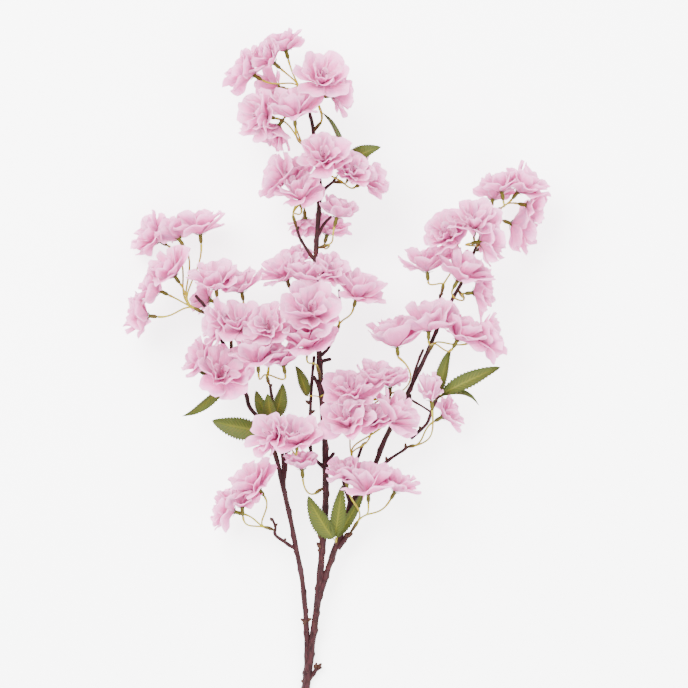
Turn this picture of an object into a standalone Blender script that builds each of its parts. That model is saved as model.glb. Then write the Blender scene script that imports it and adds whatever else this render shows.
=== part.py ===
"""A cut branch of double almond blossom, laid down on a table top.

X runs across the branch, Y from the cut foot to the flowering tips, Z up from the table. Every length
below is in millimetres; a mesh is scaled to metres when it is made. The branch rests on the flat underside
of its foot and on one bloom at each side."""

import math

import bpy
import numpy as np
from mathutils import Vector
from mathutils.bvhtree import BVHTree

for old in list(bpy.data.objects):
    bpy.data.objects.remove(old, do_unlink=True)

MM = 0.001
ORIGIN = (6.0, 314.2, 0.0)  # middle of the branch's own box in plan, on the table
SEAT_GAP = 0.3  # clearance where one piece sits on another

# Wood
STEM_SIDES = 6
TWIG_SIDES = 4
BUD_SIDES = 4
STEM_RING_STEP = 27.0
TWIG_RING_STEP = 18.0
FOOT_RADIUS = 3.4
FOOT_AXIS_HEIGHT = FOOT_RADIUS * math.cos(math.pi / STEM_SIDES)  # lays one flat of the foot on the table

# Flower stalks
PEDICEL_RADIUS = 0.7
PEDICEL_SIDES = 3
PEDICEL_RINGS = 3
STALK_SIDES = 4
SPUR_RADIUS = 1.9
SPUR_FOOT_RADIUS = 0.6
SPUR_TIP_RADIUS = 1.5
CALYX_LENGTH = 10.0
CALYX_PROFILE = ((-10.0, 0.8), (-6.5, 1.7), (-0.3, 2.3))  # height under the petals, radius
BOW_STEP = 7.0
BOWS = 4
BOW_TURNS = 8
STALK_CLEARANCE = 0.6
ROOM_SHARES = (0.2, 0.4, 0.6, 0.8, 1.0)  # where along a stretch of stalk its room is measured

# Petals, as shares of a bloom's radius
PETALS = 5
PETAL_THICKNESS = 1.3
SCRAP_SHARE = 0.02  # a body smaller than this share of a node's largest is a scrap of the fusing
PETAL_TURN = math.tau / PETALS
BLOOM_SEED = 41
HALF_SHUT = {"right_bud": 0.44}  # width of the blooms in a node, as a share of an open one's

# Leaves
LEAF_THICKNESS = 1.0
LEAF_TEETH = 5
LEAF_NOTCH = 0.84
LEAF_FOLD = 0.22
PETIOLE_RADIUS = 0.8

# Stem routes: x, y, z, radius of the wood
STEMS = {
    "foot": [(-26, -45, FOOT_AXIS_HEIGHT, FOOT_RADIUS), (-25.5, -15, FOOT_AXIS_HEIGHT, FOOT_RADIUS),
             (-24, 12, 4.2, 3.2), (-22, 32, 6.5, 3.6)],
    "left": [(-23.5, 14, 4.6, 2.3), (-23.5, 50, 9, 2.3), (-24.5, 80, 13, 2.2), (-28.5, 120, 18, 2.1),
             (-34, 150, 23, 2.1), (-40, 180, 27, 2.0), (-47, 212, 32, 2.0), (-53.5, 240, 36, 1.9),
             (-65, 273, 40, 1.8), (-80, 292, 42, 1.7), (-84, 305, 43, 1.6), (-92, 330, 45, 1.5),
             (-108, 359, 47, 1.4), (-119, 385, 48, 1.3), (-134, 404, 48, 1.2)],
    "centre": [(-22.5, 16, 4.6, 3.0), (-19, 50, 10, 2.9), (-14.5, 80, 14, 2.8), (-10.5, 120, 20, 2.8),
               (-7, 160, 26, 2.7), (-4.5, 197, 31, 2.6), (-4.5, 232, 35, 2.6), (-5.5, 263, 39, 2.5),
               (-8, 300, 43, 2.4), (-11, 348, 47, 2.3), (-12, 380, 49, 2.2), (-13, 410, 51, 2.1),
               (-14, 448, 53, 2.0), (-11, 490, 54, 1.9), (-10, 514, 55, 1.8), (-14, 540, 55, 1.7),
               (-17, 572, 56, 1.5), (-23, 597, 57, 1.2)],
    "right": [(-13.5, 92, 16, 2.4), (-5, 120, 19, 2.5), (1.5, 140, 22, 2.5), (13, 173, 27, 2.4),
              (21, 195, 30, 2.3), (31, 210, 32, 2.2), (45, 235, 35, 2.1), (55, 260, 38, 2.1),
              (70, 290, 41, 2.0), (82, 315, 43, 1.8), (94, 340, 45, 1.8), (107, 370, 47, 1.6),
              (123, 402, 49, 1.5), (133, 420, 49, 1.4), (140, 438, 49, 1.3), (150, 460, 48, 1.2),
              (167, 488, 48, 1.0)],
}

# Side twigs, each from inside its stem to its tip
TWIGS = [
    [(-46, 208, 31.5, 1.5), (-48, 247, 38, 1.4), (-55, 275, 43, 1.3), (-58, 300, 47, 1.2),
     (-60, 315, 49, 1.1)],
    [(-47, 214, 32, 1.3), (-44.5, 230, 36, 1.3), (-44, 249, 40, 1.1)],
    [(-34, 149, 23, 1.5), (-46, 157, 25, 1.3), (-55, 164, 26, 1.2), (-55, 172, 27, 1.1), (-58, 180, 28, 1.0)],
    [(-5, 230, 35, 1.5), (-19, 248, 38, 1.3), (-20, 282, 42, 1.2), (-18, 320, 44, 1.2), (-16, 343, 46, 1.1)],
    [(-9, 304, 43.5, 1.7), (-12, 316, 46, 1.6), (-16, 323, 47, 1.2)],
    [(-5, 235, 35.5, 1.6), (3.5, 246, 38, 1.4)],
    [(-11, 338, 46, 1.5), (0, 341, 48, 1.2)],
    [(-11, 344, 47, 1.5), (-3, 350, 50, 1.2), (2, 359, 52, 1.1), (6, 366, 53, 1.0)],
    [(-12, 374, 49, 1.3), (0, 388, 46, 1.0), (9, 397, 46, 0.9), (9, 410, 47, 0.9)],
    [(-14, 438, 52, 1.4), (-24, 452, 50, 1.2), (-30, 462, 49, 1.1), (-33, 471, 48, 1.0)],
    [(-13, 464, 54, 1.4), (-5, 477, 56, 1.2), (1, 483, 57, 1.0)],
    [(-11, 505, 55, 1.4), (-4, 512, 56, 1.2), (3, 518, 57, 1.0)],
    [(8, 150, 24, 2.0), (14, 159, 26, 1.9), (19, 165, 27.5, 1.7)],
    [(21, 193, 30, 1.4), (17, 205, 33, 1.3), (13, 218, 35, 1.1)],
    [(31, 210, 32, 1.3), (25, 228, 36, 1.2), (32, 253, 38, 1.1), (36, 257, 38, 1.0)],
    [(38, 221, 33, 1.4), (52, 233, 34, 1.3), (58, 239, 35, 1.2), (70, 247, 36, 1.1), (77, 252, 36, 1.0)],
    [(76, 303, 42, 0.9), (90, 295, 43, 0.8), (101, 288, 44, 0.9)],
    [(81, 261, 42, 1.2), (91, 270, 43, 1.2), (98, 278, 44, 1.2), (102, 290, 44.5, 1.2), (107, 302, 45, 1.1)],
    [(80, 306, 42.5, 1.4), (80, 296, 43, 1.1), (79, 288, 43, 1.0)],
    [(71, 291, 41, 1.1), (58, 296, 46, 0.9), (49, 301, 49, 0.9), (49, 311, 51, 0.8)],
    [(82, 316, 43.5, 1.3), (86, 332, 48, 1.1), (93, 350, 51, 1.0)],
    [(118, 391, 48, 1.3), (111, 398, 51, 1.1), (110, 405, 53, 1.0)],
    [(-24, 14, 4.4, 1.8), (-15, 26, 6, 1.5), (-14, 33, 7, 0.9)],
    [(-17, 24, 5.6, 1.3), (-9, 29, 6.5, 0.8)],
]

# Buds on the wood: x, y, z of the root, then the way the bud points, its length and radius
BUDS = [
    ((-23.5, 75, 12), (-1.0, 0.6, 0.2), 7.5, 1.4), ((-23.5, 77, 12.5), (1.0, 0.4, 0.3), 5.5, 1.3),
    ((-25, 14, 4), (-1.0, 0.3, 0.0), 5.0, 1.3), ((-7.5, 158, 26), (-0.7, 1.0, 0.3), 9.0, 1.5),
    ((-7, 160, 26), (0.2, 1.0, 0.5), 8.5, 1.5), ((-11, 147, 24), (0.9, 0.5, 0.5), 5.0, 1.4),
    ((-46, 157, 25), (0.3, 1.0, 0.4), 4.5, 1.1), ((-19.5, 296, 43), (-0.8, 0.5, 0.2), 6.5, 1.3),
    ((-19.5, 287, 42), (0.8, 0.5, 0.4), 6.0, 1.2), ((-33, 470, 48), (0.5, 1.0, 0.2), 4.5, 1.1),
    ((91, 270, 43), (-0.4, 1.0, 0.4), 4.5, 1.1), ((102, 291, 44.5), (0.4, 0.9, 0.5), 5.0, 1.1),
    ((57, 239, 35), (-0.2, 1.0, 0.2), 4.5, 1.1), ((76, 251, 36), (-0.1, 1.0, 0.2), 6.0, 1.1),
    ((46, 301, 49), (-1.0, 0.0, 0.1), 3.5, 1.3), ((-60, 313, 49), (0.7, 1.0, 0.1), 4.0, 1.0),
    ((-110, 361, 47), (-0.5, 1.0, 0.4), 9.0, 1.1), ((110, 404, 53), (0.9, 0.8, 0.2), 4.5, 0.9),
]

# Flower heads: where the spur leaves the wood, its tip, and its blooms. A bloom is the node that holds its
# petals, the point where its petals meet the calyx, its compass turn and its lean up from the table in
# degrees, and its radius. A height of None lays the bloom's lowest petal on the table.
HEADS = {
    "top_tip": ((-23, 596, 57), (-30, 611, 59), [
        ("top_tip", (-76, 624, 62), 150, 0, 24), ("top_tip", (-56, 636, 68), 140, 15, 21),
        ("top_tip", (-44, 649, 60), 105, 0, 20), ("top_under", (-52, 613, 42), 170, -25, 20)]),
    "top_right": ((-17, 566, 56), (-9, 577, 59), [
        ("top_right", (-10, 614, 78), 70, 45, 27), ("top_right", (2, 603, 75), 10, -20, 20)]),
    "top_left": ((-14, 545, 55), (-25, 553, 60), [
        ("top_left", (-35, 580, 84), 95, 15, 28), ("top_left", (-62, 582, 76), 170, 30, 25),
        ("top_left", (-51, 573, 71), 235, 5, 21)]),
    "top_side": ((3, 517, 57), (12, 517, 62), [
        ("top_side", (20, 523, 80), 60, 50, 20), ("top_side", (33, 517, 64), 30, 15, 22),
        ("top_side", (-6, 536, 84), 90, 55, 26)]),
    "top_mid": ((-33, 470, 48), (-37, 484, 55), [
        ("top_mid", (-43, 518, 71), 155, 10, 24), ("top_mid", (-27, 521, 62), 120, 25, 20),
        ("top_mid", (-29, 499, 85), 95, 25, 24), ("top_back", (-25, 482, 30), 275, -15, 18)]),
    "top_low": ((-13.5, 452, 53), (-2, 455, 58), [
        ("top_low", (7, 482, 76), 75, 5, 20), ("top_back", (-3, 466, 33), 75, 5, 21)]),
    "left_tip": ((-119, 385, 48), (-136, 392, 53), [
        ("left_tip", (-172, 460, None), 150, 10, 25), ("left_tip", (-152, 462, 34), 125, -15, 21),
        ("left_tip", (-130, 466, 42), 95, 0, 25), ("left_side", (-155, 424, 58), 125, 15, 24),
        ("left_side", (-170, 409, 50), 155, 10, 21), ("left_side", (-182, 384, 47), 175, 5, 22)]),
    "left_mid": ((-99, 344, 46), (-99, 364, 58), [
        ("left_mid", (-113, 411, 76), 95, 20, 26), ("left_mid", (-88, 408, 66), 100, 10, 21),
        ("left_back", (-121, 400, 30), 160, -15, 17), ("mid_left", (-104, 376, 78), 180, 15, 22)]),
    "left_low": ((-84, 305, 43), (-95, 311, 49), [
        ("left_low", (-123, 338, 62), 150, 0, 21), ("left_low", (-110, 322, 62), 60, 55, 29)]),
    "mid_left": ((-60, 314, 49), (-63, 324, 56), [
        ("mid_left", (-71, 336, 87), 92, 10, 27), ("mid_left", (-46, 335, 78), 100, 10, 21),
        ("mid_left", (-60, 370, 89), 100, 63, 23), ("mid_left", (-88, 370, 80), 100, 40, 24)]),
    "low_mid": ((-44, 248, 40), (-40, 251, 52), [
        ("low_mid", (-33, 257, 84), 90, 40, 26), ("low_mid", (-52, 262, 80), 150, 40, 24)]),
    "low_hang": ((-5, 212, 32), (-15, 206, 38), [("low_hang", (-28, 231, 53), 95, 5, 17)]),
    "low_left": ((-55, 168, 26.5), (-66, 172, 31), [
        ("low_left", (-88, 193, 46), 95, 5, 19), ("low_left", (-96, 188, 41), 165, 5, 22),
        ("low_left", (-71, 211, 50), 125, 20, 25)]),
    "mid_top": ((-12, 378, 49), (-18, 384, 60), [
        ("mid_top", (-43, 420, 60), 110, 15, 25), ("mid_top", (-24, 416, 80), 85, 10, 22),
        ("mid_top", (-33, 436, 39), 110, -20, 17), ("mid_left", (-20, 384, 91), 80, 60, 30)]),
    "mid_right": ((6, 366, 53), (9, 375, 56), [
        ("mid_top", (-3, 424, 76), 60, 40, 20), ("mid_top", (26, 401, 74), 75, 15, 26)]),
    "mid_front": ((-9, 318, 45), (-13, 334, 58), [("mid_left", (-22, 352, 89), 85, 30, 28)]),
    "right_foot": ((19, 164, 27.5), (28, 178, 33), [
        ("right_foot", (38, 207, 68), 92, 15, 29), ("right_foot", (65, 209, 60), 60, 0, 20),
        ("right_foot", (16, 222, 60), 100, 20, 20)]),
    "right_low": ((26, 231, 36.5), (22, 243, 45), [
        ("right_mid", (18, 275, 82), 100, 50, 27), ("right_mid", (42, 275, 77), 80, 30, 20),
        ("right_mid", (58, 279, 77), 40, 15, 27)]),
    "right_mid": ((78, 306, 42.5), (68, 308, 48), [
        ("right_mid", (23, 300, 68), 95, 35, 28), ("right_mid", (43, 315, 68), 80, 20, 22),
        ("right_mid", (60, 313, 60), 90, 0, 21), ("right_top", (67, 353, 64), 95, 0, 30)]),
    "right_leafy": ((76, 252, 36), (85, 254, 36), [
        ("right_bud", (101, 300, 68), 95, 0, 27), ("right_leafy", (113, 283, 30), 30, 5, 19)]),
    "right_top": ((97, 347, 45.5), (103, 356, 56), [
        ("right_top", (98, 369, 74), 90, 10, 30), ("right_top", (127, 360, 71), 60, 10, 25),
        ("right_top", (147, 360, 57), 20, 10, 26)]),
    "right_twig": ((110, 404, 53), (113, 416, 57), [
        ("right_wing", (97, 428, 62), 95, 0, 26), ("right_crown", (120, 462, 74), 130, 50, 24)]),
    "right_stem": ((128, 411, 49), (134, 402, 55), [
        ("right_wing", (127, 419, 79), 60, 10, 29), ("right_wing", (143, 407, 67), 5, 10, 20)]),
    "right_crown": ((145, 449, 48.5), (150, 452, 60), [
        ("right_crown", (143, 470, 84), 90, 35, 25), ("right_crown", (148, 457, 88), 10, -15, 24)]),
    "right_tip": ((166, 487, 48), (171, 492, 48), [
        ("right_tip", (171, 508, 66), 100, 0, 19), ("right_tip", (188, 508, 52), 50, 10, 25),
        ("right_tip", (197, 495, 44), 350, 0, 19), ("right_tip", (163, 501, 43), 80, -10, 20),
        ("right_tip", (182, 477, None), 340, -10, 26)]),
}

# Leaves: foot of each group's petioles, then each blade's base, tip, width, the way its face looks, its arch
LEAVES = {
    "top": ((3, 518, 57), [
        ((14, 534, 62), (-6, 586, 70), 18, (0.85, 0.35, 0.25), 3),
        ((16, 535, 61), (50, 552, 72), 19, (-0.2, 0.3, 0.9), 4)]),
    "left": ((-94, 333, 45), [
        ((-104, 318, 40), (-148, 283, 28), 13, (0.3, -0.5, 0.8), 5),
        ((-106, 324, 40), (-135, 332, 34), 14, (0, 0, 1), 2),
        ((-106, 335, 42), (-123, 352, 46), 13, (0.1, 0.1, 1), 1)]),
    "mid": ((-66, 274, 40), [
        ((-68, 269, 46), (-118, 279, 44), 25, (0.1, -0.25, 0.95), 3),
        ((-61, 281, 48), (-74, 309, 58), 15, (-0.3, 0, 0.95), 2),
        ((-58, 281, 50), (-62, 306, 66), 15, (-0.1, -0.4, 0.9), 2),
        ((-55, 282, 48), (-47, 316, 54), 17, (0.3, 0, 0.95), 2)]),
    "centre": ((-8, 300, 43), [
        ((-23, 304, 50), (-34, 334, 52), 12, (0.3, 0.1, 0.9), 2),
        ((-1, 307, 50), (6, 328, 54), 9, (0.3, -0.2, 0.9), 1)]),
    "right": ((107, 301, 45), [
        ((109, 306, 50), (120, 351, 54), 14, (-0.4, 0, 0.9), 2),
        ((112, 306, 50), (170, 333, 50), 18, (0.1, 0.35, 0.9), 3),
        ((110, 303, 48), (149, 296, 46), 13, (-0.1, 0.9, 0.45), 7)]),
    "foot": ((7, 153, 24), [
        ((3, 161, 36), (-22, 203, 44), 22, (-0.3, -0.1, 0.95), 3),
        ((5, 163, 37), (12, 214, 50), 17, (0, -0.3, 0.95), 3),
        ((7, 162, 33), (35, 211, 36), 11, (0.3, -0.2, 0.9), 2)]),
}

COLOURS = {
    "bark": (0.085, 0.030, 0.035),
    "petals": (0.86, 0.60, 0.72),
    "stalks": (0.33, 0.30, 0.06),
    "leaves": (0.16, 0.22, 0.035),
}
ROUGHNESS = {"bark": 0.62, "petals": 0.8, "stalks": 0.6, "leaves": 0.55}


def make_material(name):
    material = bpy.data.materials.new(name)
    material.use_nodes = True
    shader = material.node_tree.nodes["Principled BSDF"]
    shader.inputs["Base Color"].default_value = (*COLOURS[name], 1.0)
    shader.inputs["Roughness"].default_value = ROUGHNESS[name]
    shader.inputs["Metallic"].default_value = 0.0
    return material


MATERIALS = {name: make_material(name) for name in COLOURS}


def unit(vector):
    vector = np.asarray(vector, float)
    return vector / np.linalg.norm(vector)


def bearing(turn, lean):
    """The direction at a compass turn, leaning up from the table, both in degrees."""
    turn, lean = math.radians(turn), math.radians(lean)
    return np.array([math.cos(turn) * math.cos(lean), math.sin(turn) * math.cos(lean), math.sin(lean)])


def side_axes(axis):
    """Two unit directions square to an axis and to each other."""
    across = np.cross(axis, (0.0, 0.0, 1.0))
    if np.linalg.norm(across) < 0.05:
        across = np.cross(axis, (0.0, 1.0, 0.0))
    across = unit(across)
    return across, np.cross(axis, across)


def smooth_rows(route, step):
    """Rows x, y, z, radius along a smooth curve through the route's own rows, about one step apart."""
    route = np.array(route, float)
    before = np.vstack([2 * route[0] - route[1], route[:-1]])
    after = np.vstack([route[1:], 2 * route[-1] - route[-2]])
    slopes = (after - before) / 2
    rows = [route[:1]]
    for start, end, out, into in zip(route, route[1:], slopes, slopes[1:]):
        count = max(1, round(np.linalg.norm((end - start)[:3]) / step))
        t = np.linspace(0, 1, count + 1)[1:, None]
        rows.append((2 * t**3 - 3 * t**2 + 1) * start + (t**3 - 2 * t**2 + t) * out
                    + (3 * t**2 - 2 * t**3) * end + (t**3 - t**2) * into)
    return np.vstack(rows)


def tube(rows, sides):
    """A closed tube along rows of x, y, z, radius. One of its flats faces down where it starts level."""
    rows = np.asarray(rows, float)
    points, radii = rows[:, :3], rows[:, 3]
    ahead = np.vstack([points[1:] - points[:-1], points[-1:] - points[-2:-1]])
    ahead[1:-1] = points[2:] - points[:-2]
    across, up = side_axes(unit(ahead[0]))
    turns = math.tau * (np.arange(sides) + 0.5) / sides + math.pi / 2
    rings = []
    for point, direction, radius in zip(points, ahead, radii):
        direction = unit(direction)
        across = unit(across - direction * across.dot(direction))
        up = np.cross(direction, across)
        rings.append(point + radius * (np.cos(turns)[:, None] * across + np.sin(turns)[:, None] * up))
    last = (len(rings) - 1) * sides
    faces = [tuple(range(sides))[::-1], tuple(range(last, last + sides))]
    for ring in range(len(rings) - 1):
        for side in range(sides):
            a, b = ring * sides + side, ring * sides + (side + 1) % sides
            faces.append((a, b, b + sides, a + sides))
    return np.vstack(rings), faces


def bud(root, way, length, radius):
    """A spindle, its foot sunk in the wood."""
    root, way = np.array(root, float), unit(way)
    heights, radii = (0.0, 0.45, 0.8, 1.0), (0.75, 1.0, 0.6, 0.12)
    rows = [(*(root + way * length * height), radius * share) for height, share in zip(heights, radii)]
    return tube(rows, BUD_SIDES)


def bloom_shell(number, radius):
    """A double bloom about +Z, its seat at the origin: five open petals, then five more upright ones.

    Heights and widths are shares of the radius. Each petal is a little longer or shorter than its neighbour,
    by a draw seeded with the bloom's number.
    """
    rng = np.random.default_rng([BLOOM_SEED, number])
    roll = rng.uniform(0, PETAL_TURN)
    reach = rng.uniform(0.92, 1.06, PETALS)
    rise = rng.uniform(0.42, 0.84, PETALS)
    wave = rng.uniform(-0.08, 0.08, (PETALS, 2))
    inner_reach = rng.uniform(0.56, 0.72, PETALS)
    inner_rise = rng.uniform(1.00, 1.18, PETALS)
    lift = PETAL_THICKNESS / radius
    points = []

    def at(turn, out, up):
        points.append((out * math.cos(roll + turn), out * math.sin(roll + turn), up))
        return len(points) - 1

    foot = at(0, 0, 0)
    heart = at(0, 0, 0.56)
    under, over, rims, necks, inner_under, inner_over, tips, clefts = ([] for _ in range(8))
    for k in range(PETALS):
        turn, valley = k * PETAL_TURN, (k + 0.5) * PETAL_TURN
        following = (k + 1) % PETALS
        dip = min(rise[k], rise[following])
        under.append(at(turn, 0.56, 0.10 + 0.26 * rise[k]))
        over.append(at(turn, 0.56 - 0.5 * lift, 0.10 + 0.26 * rise[k] + lift))
        rims += [at(turn - 0.43, reach[k], rise[k] + wave[k, 0]),
                 at(turn + 0.43, reach[k], rise[k] + wave[k, 1]),
                 at(valley, 0.78, 0.12 + 0.60 * dip)]
        necks.append(at(turn, 0.18, 0.26 + lift))
        inner_under.append(at(valley, 0.38, 0.50))
        inner_over.append(at(valley, 0.38 - lift, 0.54 + lift))
        tips.append(at(valley, inner_reach[k], inner_rise[k]))
        clefts.append(at(turn + PETAL_TURN, 0.46, 0.88))
    faces = []
    for k in range(PETALS):
        n = (k + 1) % PETALS
        left, right, notch, next_left = rims[3 * k], rims[3 * k + 1], rims[3 * k + 2], rims[3 * n]
        faces += [(foot, under[n], under[k]), (under[k], right, left), (under[k], notch, right),
                  (under[k], under[n], notch), (under[n], next_left, notch)]
        faces += [(over[k], left, right), (over[k], right, notch), (over[k], notch, over[n]),
                  (over[n], notch, next_left), (necks[k], over[k], over[n]), (necks[k], over[n], necks[n])]
        faces += [(necks[k], necks[n], inner_under[k]), (inner_under[k], necks[n], inner_under[n])]
        faces += [(inner_under[k], clefts[k], tips[k]), (inner_under[n], tips[n], clefts[k]),
                  (inner_under[k], inner_under[n], clefts[k])]
        faces += [(inner_over[k], tips[k], clefts[k]), (inner_over[n], clefts[k], tips[n]),
                  (inner_over[k], clefts[k], inner_over[n]), (heart, inner_over[k], inner_over[n])]
    return radius * np.array(points), faces


def bloom(number, place, turn, lean, radius, width):
    """A bloom's points in the branch's frame, its faces, seat and axis. None drops it to the table."""
    points, faces = bloom_shell(number, radius)
    axis = bearing(turn, lean)
    across, up = side_axes(axis)
    points = width * (points[:, :1] * across + points[:, 1:2] * up) + points[:, 2:] * axis
    height = -points[:, 2].min() if place[2] is None else place[2]
    seat = np.array([place[0], place[1], height])
    return points + seat, faces, seat, axis


def leaf(base, tip, width, face, arch):
    """A leaf blade from base to tip, folded up from its midrib, with teeth that point to the tip."""
    base, tip = np.array(base, float), np.array(tip, float)
    along = unit(tip - base)
    across = unit(np.cross(face, along))
    out = np.cross(along, across)
    length = np.linalg.norm(tip - base)

    def rib(t):
        return base + along * length * t + out * arch * 4 * t * (1 - t)

    def edge(t, side, share):
        half = 0.5 * width * share * math.sin(math.pi * t**0.75) ** 0.8
        return rib(t) + side * half * across + half * LEAF_FOLD * 2 * out

    points = [rib(0.0) - 0.5 * out, rib(1.0)]
    stations = [(k + 0.7) / (LEAF_TEETH + 0.4) for k in range(LEAF_TEETH)]
    low, high, edges = [], [], {1: [], -1: []}
    for t in stations:
        low.append(len(points))
        points.append(rib(t) - LEAF_THICKNESS * out)
        high.append(len(points))
        points.append(rib(t))
        for side in (1, -1):
            edges[side] += [len(points), len(points) + 1]
            points += [edge(t, side, 1.0), edge(t + 0.055, side, LEAF_NOTCH)]
    faces = []
    for side in (1, -1):
        rim = edges[side]
        for middle, turned in ((high, side < 0), (low, side > 0)):
            fan = [(0, rim[0], middle[0])]
            for k in range(LEAF_TEETH):
                fan.append((middle[k], rim[2 * k], rim[2 * k + 1]))
                if k + 1 < LEAF_TEETH:
                    fan += [(middle[k], rim[2 * k + 1], middle[k + 1]),
                            (middle[k + 1], rim[2 * k + 1], rim[2 * k + 2])]
            fan.append((middle[-1], rim[-1], 1))
            faces += [face[::-1] for face in fan] if turned else fan
    return np.array(points), [face[::-1] for face in faces]


def new_object(name, shape):
    points, faces = shape
    mesh = bpy.data.meshes.new(name)
    mesh.from_pydata(((points - np.array(ORIGIN)) * MM).tolist(), [], faces)
    made = bpy.data.objects.new(name, mesh)
    bpy.context.scene.collection.objects.link(made)
    return made


def main_body(mesh):
    """Keeps a mesh's largest closed body, so a sealed hollow is filled and a scrap of the fusing dropped."""
    faces = [tuple(polygon.vertices) for polygon in mesh.polygons]
    points = np.array([vertex.co for vertex in mesh.vertices])
    owner = list(range(len(faces)))

    def root(index):
        while owner[index] != index:
            owner[index] = owner[owner[index]]
            index = owner[index]
        return index

    beside = {}
    for index, face in enumerate(faces):
        for ends in zip(face, face[1:] + face[:1]):
            beside.setdefault(frozenset(ends), []).append(index)
    for pair in beside.values():
        if len(pair) == 2:
            owner[root(pair[1])] = root(pair[0])
    volumes = {}
    for index, face in enumerate(faces):
        first = points[face[0]]
        part = sum(first.dot(np.cross(points[a], points[b])) for a, b in zip(face[1:], face[2:]))
        volumes[root(index)] = volumes.get(root(index), 0.0) + part
    if len(volumes) == 1:
        return
    largest = max(volumes, key=volumes.get)
    if sorted(volumes.values())[-2] > SCRAP_SHARE * volumes[largest]:
        raise ValueError(f"{mesh.name}: one of its shapes hangs loose")
    kept = [face for index, face in enumerate(faces) if root(index) == largest]
    used = sorted({index for face in kept for index in face})
    renumber = {index: place for place, index in enumerate(used)}
    mesh.clear_geometry()
    mesh.from_pydata(points[used].tolist(), [], [tuple(renumber[index] for index in face) for face in kept])


def fused(name, shapes, material, smooth=True):
    """One object from shapes that run into each other, with their shared insides removed."""
    made = new_object(name, shapes[0])
    if len(shapes) > 1:
        rest = bpy.data.collections.new(name)
        bpy.context.scene.collection.children.link(rest)
        for index, shape in enumerate(shapes[1:]):
            other = new_object(f"{name}_{index}", shape)
            bpy.context.scene.collection.objects.unlink(other)
            rest.objects.link(other)
        union = made.modifiers.new("union", "BOOLEAN")
        union.operation = "UNION"
        union.operand_type = "COLLECTION"
        union.collection = rest
        for solver in ("EXACT", "MANIFOLD"):
            union.solver = solver
            bpy.context.view_layer.update()
            graph = bpy.context.evaluated_depsgraph_get()
            whole = bpy.data.meshes.new_from_object(made.evaluated_get(graph))
            if whole.polygons:
                break
        made.modifiers.clear()
        made.data = whole
        for other in list(rest.objects):
            bpy.data.objects.remove(other, do_unlink=True)
        bpy.data.collections.remove(rest)
        main_body(made.data)
    made.data.materials.clear()
    made.data.materials.append(MATERIALS[material])
    if smooth:
        made.data.shade_smooth()
        made.data.set_sharp_from_angle(angle=math.radians(40))
    return made


def tree_of(shapes):
    """A search tree over the surfaces of several shapes."""
    points, faces, start = [], [], 0
    for shape_points, shape_faces in shapes:
        points += [Vector(point) for point in shape_points]
        faces += [tuple(start + index for index in face) for face in shape_faces]
        start = len(points)
    return BVHTree.FromPolygons(points, faces)


def tree_of_object(made):
    """A search tree over an object's surface, in the branch's millimetres."""
    points = np.array([vertex.co for vertex in made.data.vertices]) / MM + np.array(ORIGIN)
    return tree_of([(points, [tuple(polygon.vertices) for polygon in made.data.polygons])])


def clear_of(tree, path, distance):
    """The least room along a path, up to the distance wanted, or below zero where it runs through."""
    room = distance
    for start, end in zip(path, path[1:]):
        start, end = Vector(start), Vector(end)
        step = end - start
        if tree.ray_cast(start, step.normalized(), step.length)[0] is not None:
            return -1.0
        for share in ROOM_SHARES:
            found = tree.find_nearest(start + step * share, distance)[3]
            if found is not None:
                room = min(room, found)
    return room


def pedicel_rows(start, way, seat, axis, trees):
    """A curved stalk from a spur's tip through its calyx, bowed aside where the straight way isn't clear."""
    foot = seat - axis * CALYX_LENGTH
    length = np.linalg.norm(foot - start)
    chord = unit(foot - start)
    across, up = side_axes(chord)
    t = np.linspace(0, 1, PEDICEL_RINGS + 1)[:-1, None]
    wanted = PEDICEL_RADIUS + STALK_CLEARANCE
    best, best_room = None, -2.0
    for bow in range(BOWS + 1):
        for turn in range(BOW_TURNS if bow else 1):
            angle = math.tau * turn / BOW_TURNS
            aside = BOW_STEP * bow * (math.cos(angle) * across + math.sin(angle) * up)
            leave = start + way * 0.30 * length + aside
            arrive = foot - axis * 0.38 * length + aside
            path = ((1 - t) ** 3 * start + 3 * t * (1 - t) ** 2 * leave
                    + 3 * t**2 * (1 - t) * arrive + t**3 * foot)
            reach = np.vstack([path[1:], foot, foot + axis * 0.5 * CALYX_LENGTH])
            room = min(clear_of(tree, reach, wanted) for tree in trees)
            if room > best_room + 0.05:
                best, best_room = path, room
        if best_room >= wanted:
            break
    rows = [(*point, PEDICEL_RADIUS) for point in best]
    calyx = [(*(seat + axis * height), radius) for height, radius in CALYX_PROFILE]
    return rows + clear_rows(trees[0], calyx[:-1]) + calyx[-1:]


def seated_on(tree, root, tip, room):
    """The way from a root in the wood to a tip outside it, and the first point on it with the room given."""
    way = (Vector(tip) - Vector(root)).normalized()
    point = tree.ray_cast(Vector(tip), -way)[0]
    while tree.find_nearest(point)[3] < room:
        point += way * 0.1
    return np.array(way), np.array(point)


def clear_rows(tree, rows):
    """Rows of x, y, z, radius, each made thinner where another piece is too near for its radius."""
    kept = []
    for *point, radius in rows:
        distance = tree.find_nearest(Vector(point))[3]
        kept.append((*point, min(radius, max(distance - SEAT_GAP, SPUR_FOOT_RADIUS))))
    return kept


def wood_shapes():
    shapes = [tube(smooth_rows(route, STEM_RING_STEP), STEM_SIDES) for route in STEMS.values()]
    shapes += [tube(smooth_rows(route, TWIG_RING_STEP), TWIG_SIDES) for route in TWIGS]
    shapes += [bud(*each) for each in BUDS]
    return shapes


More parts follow.
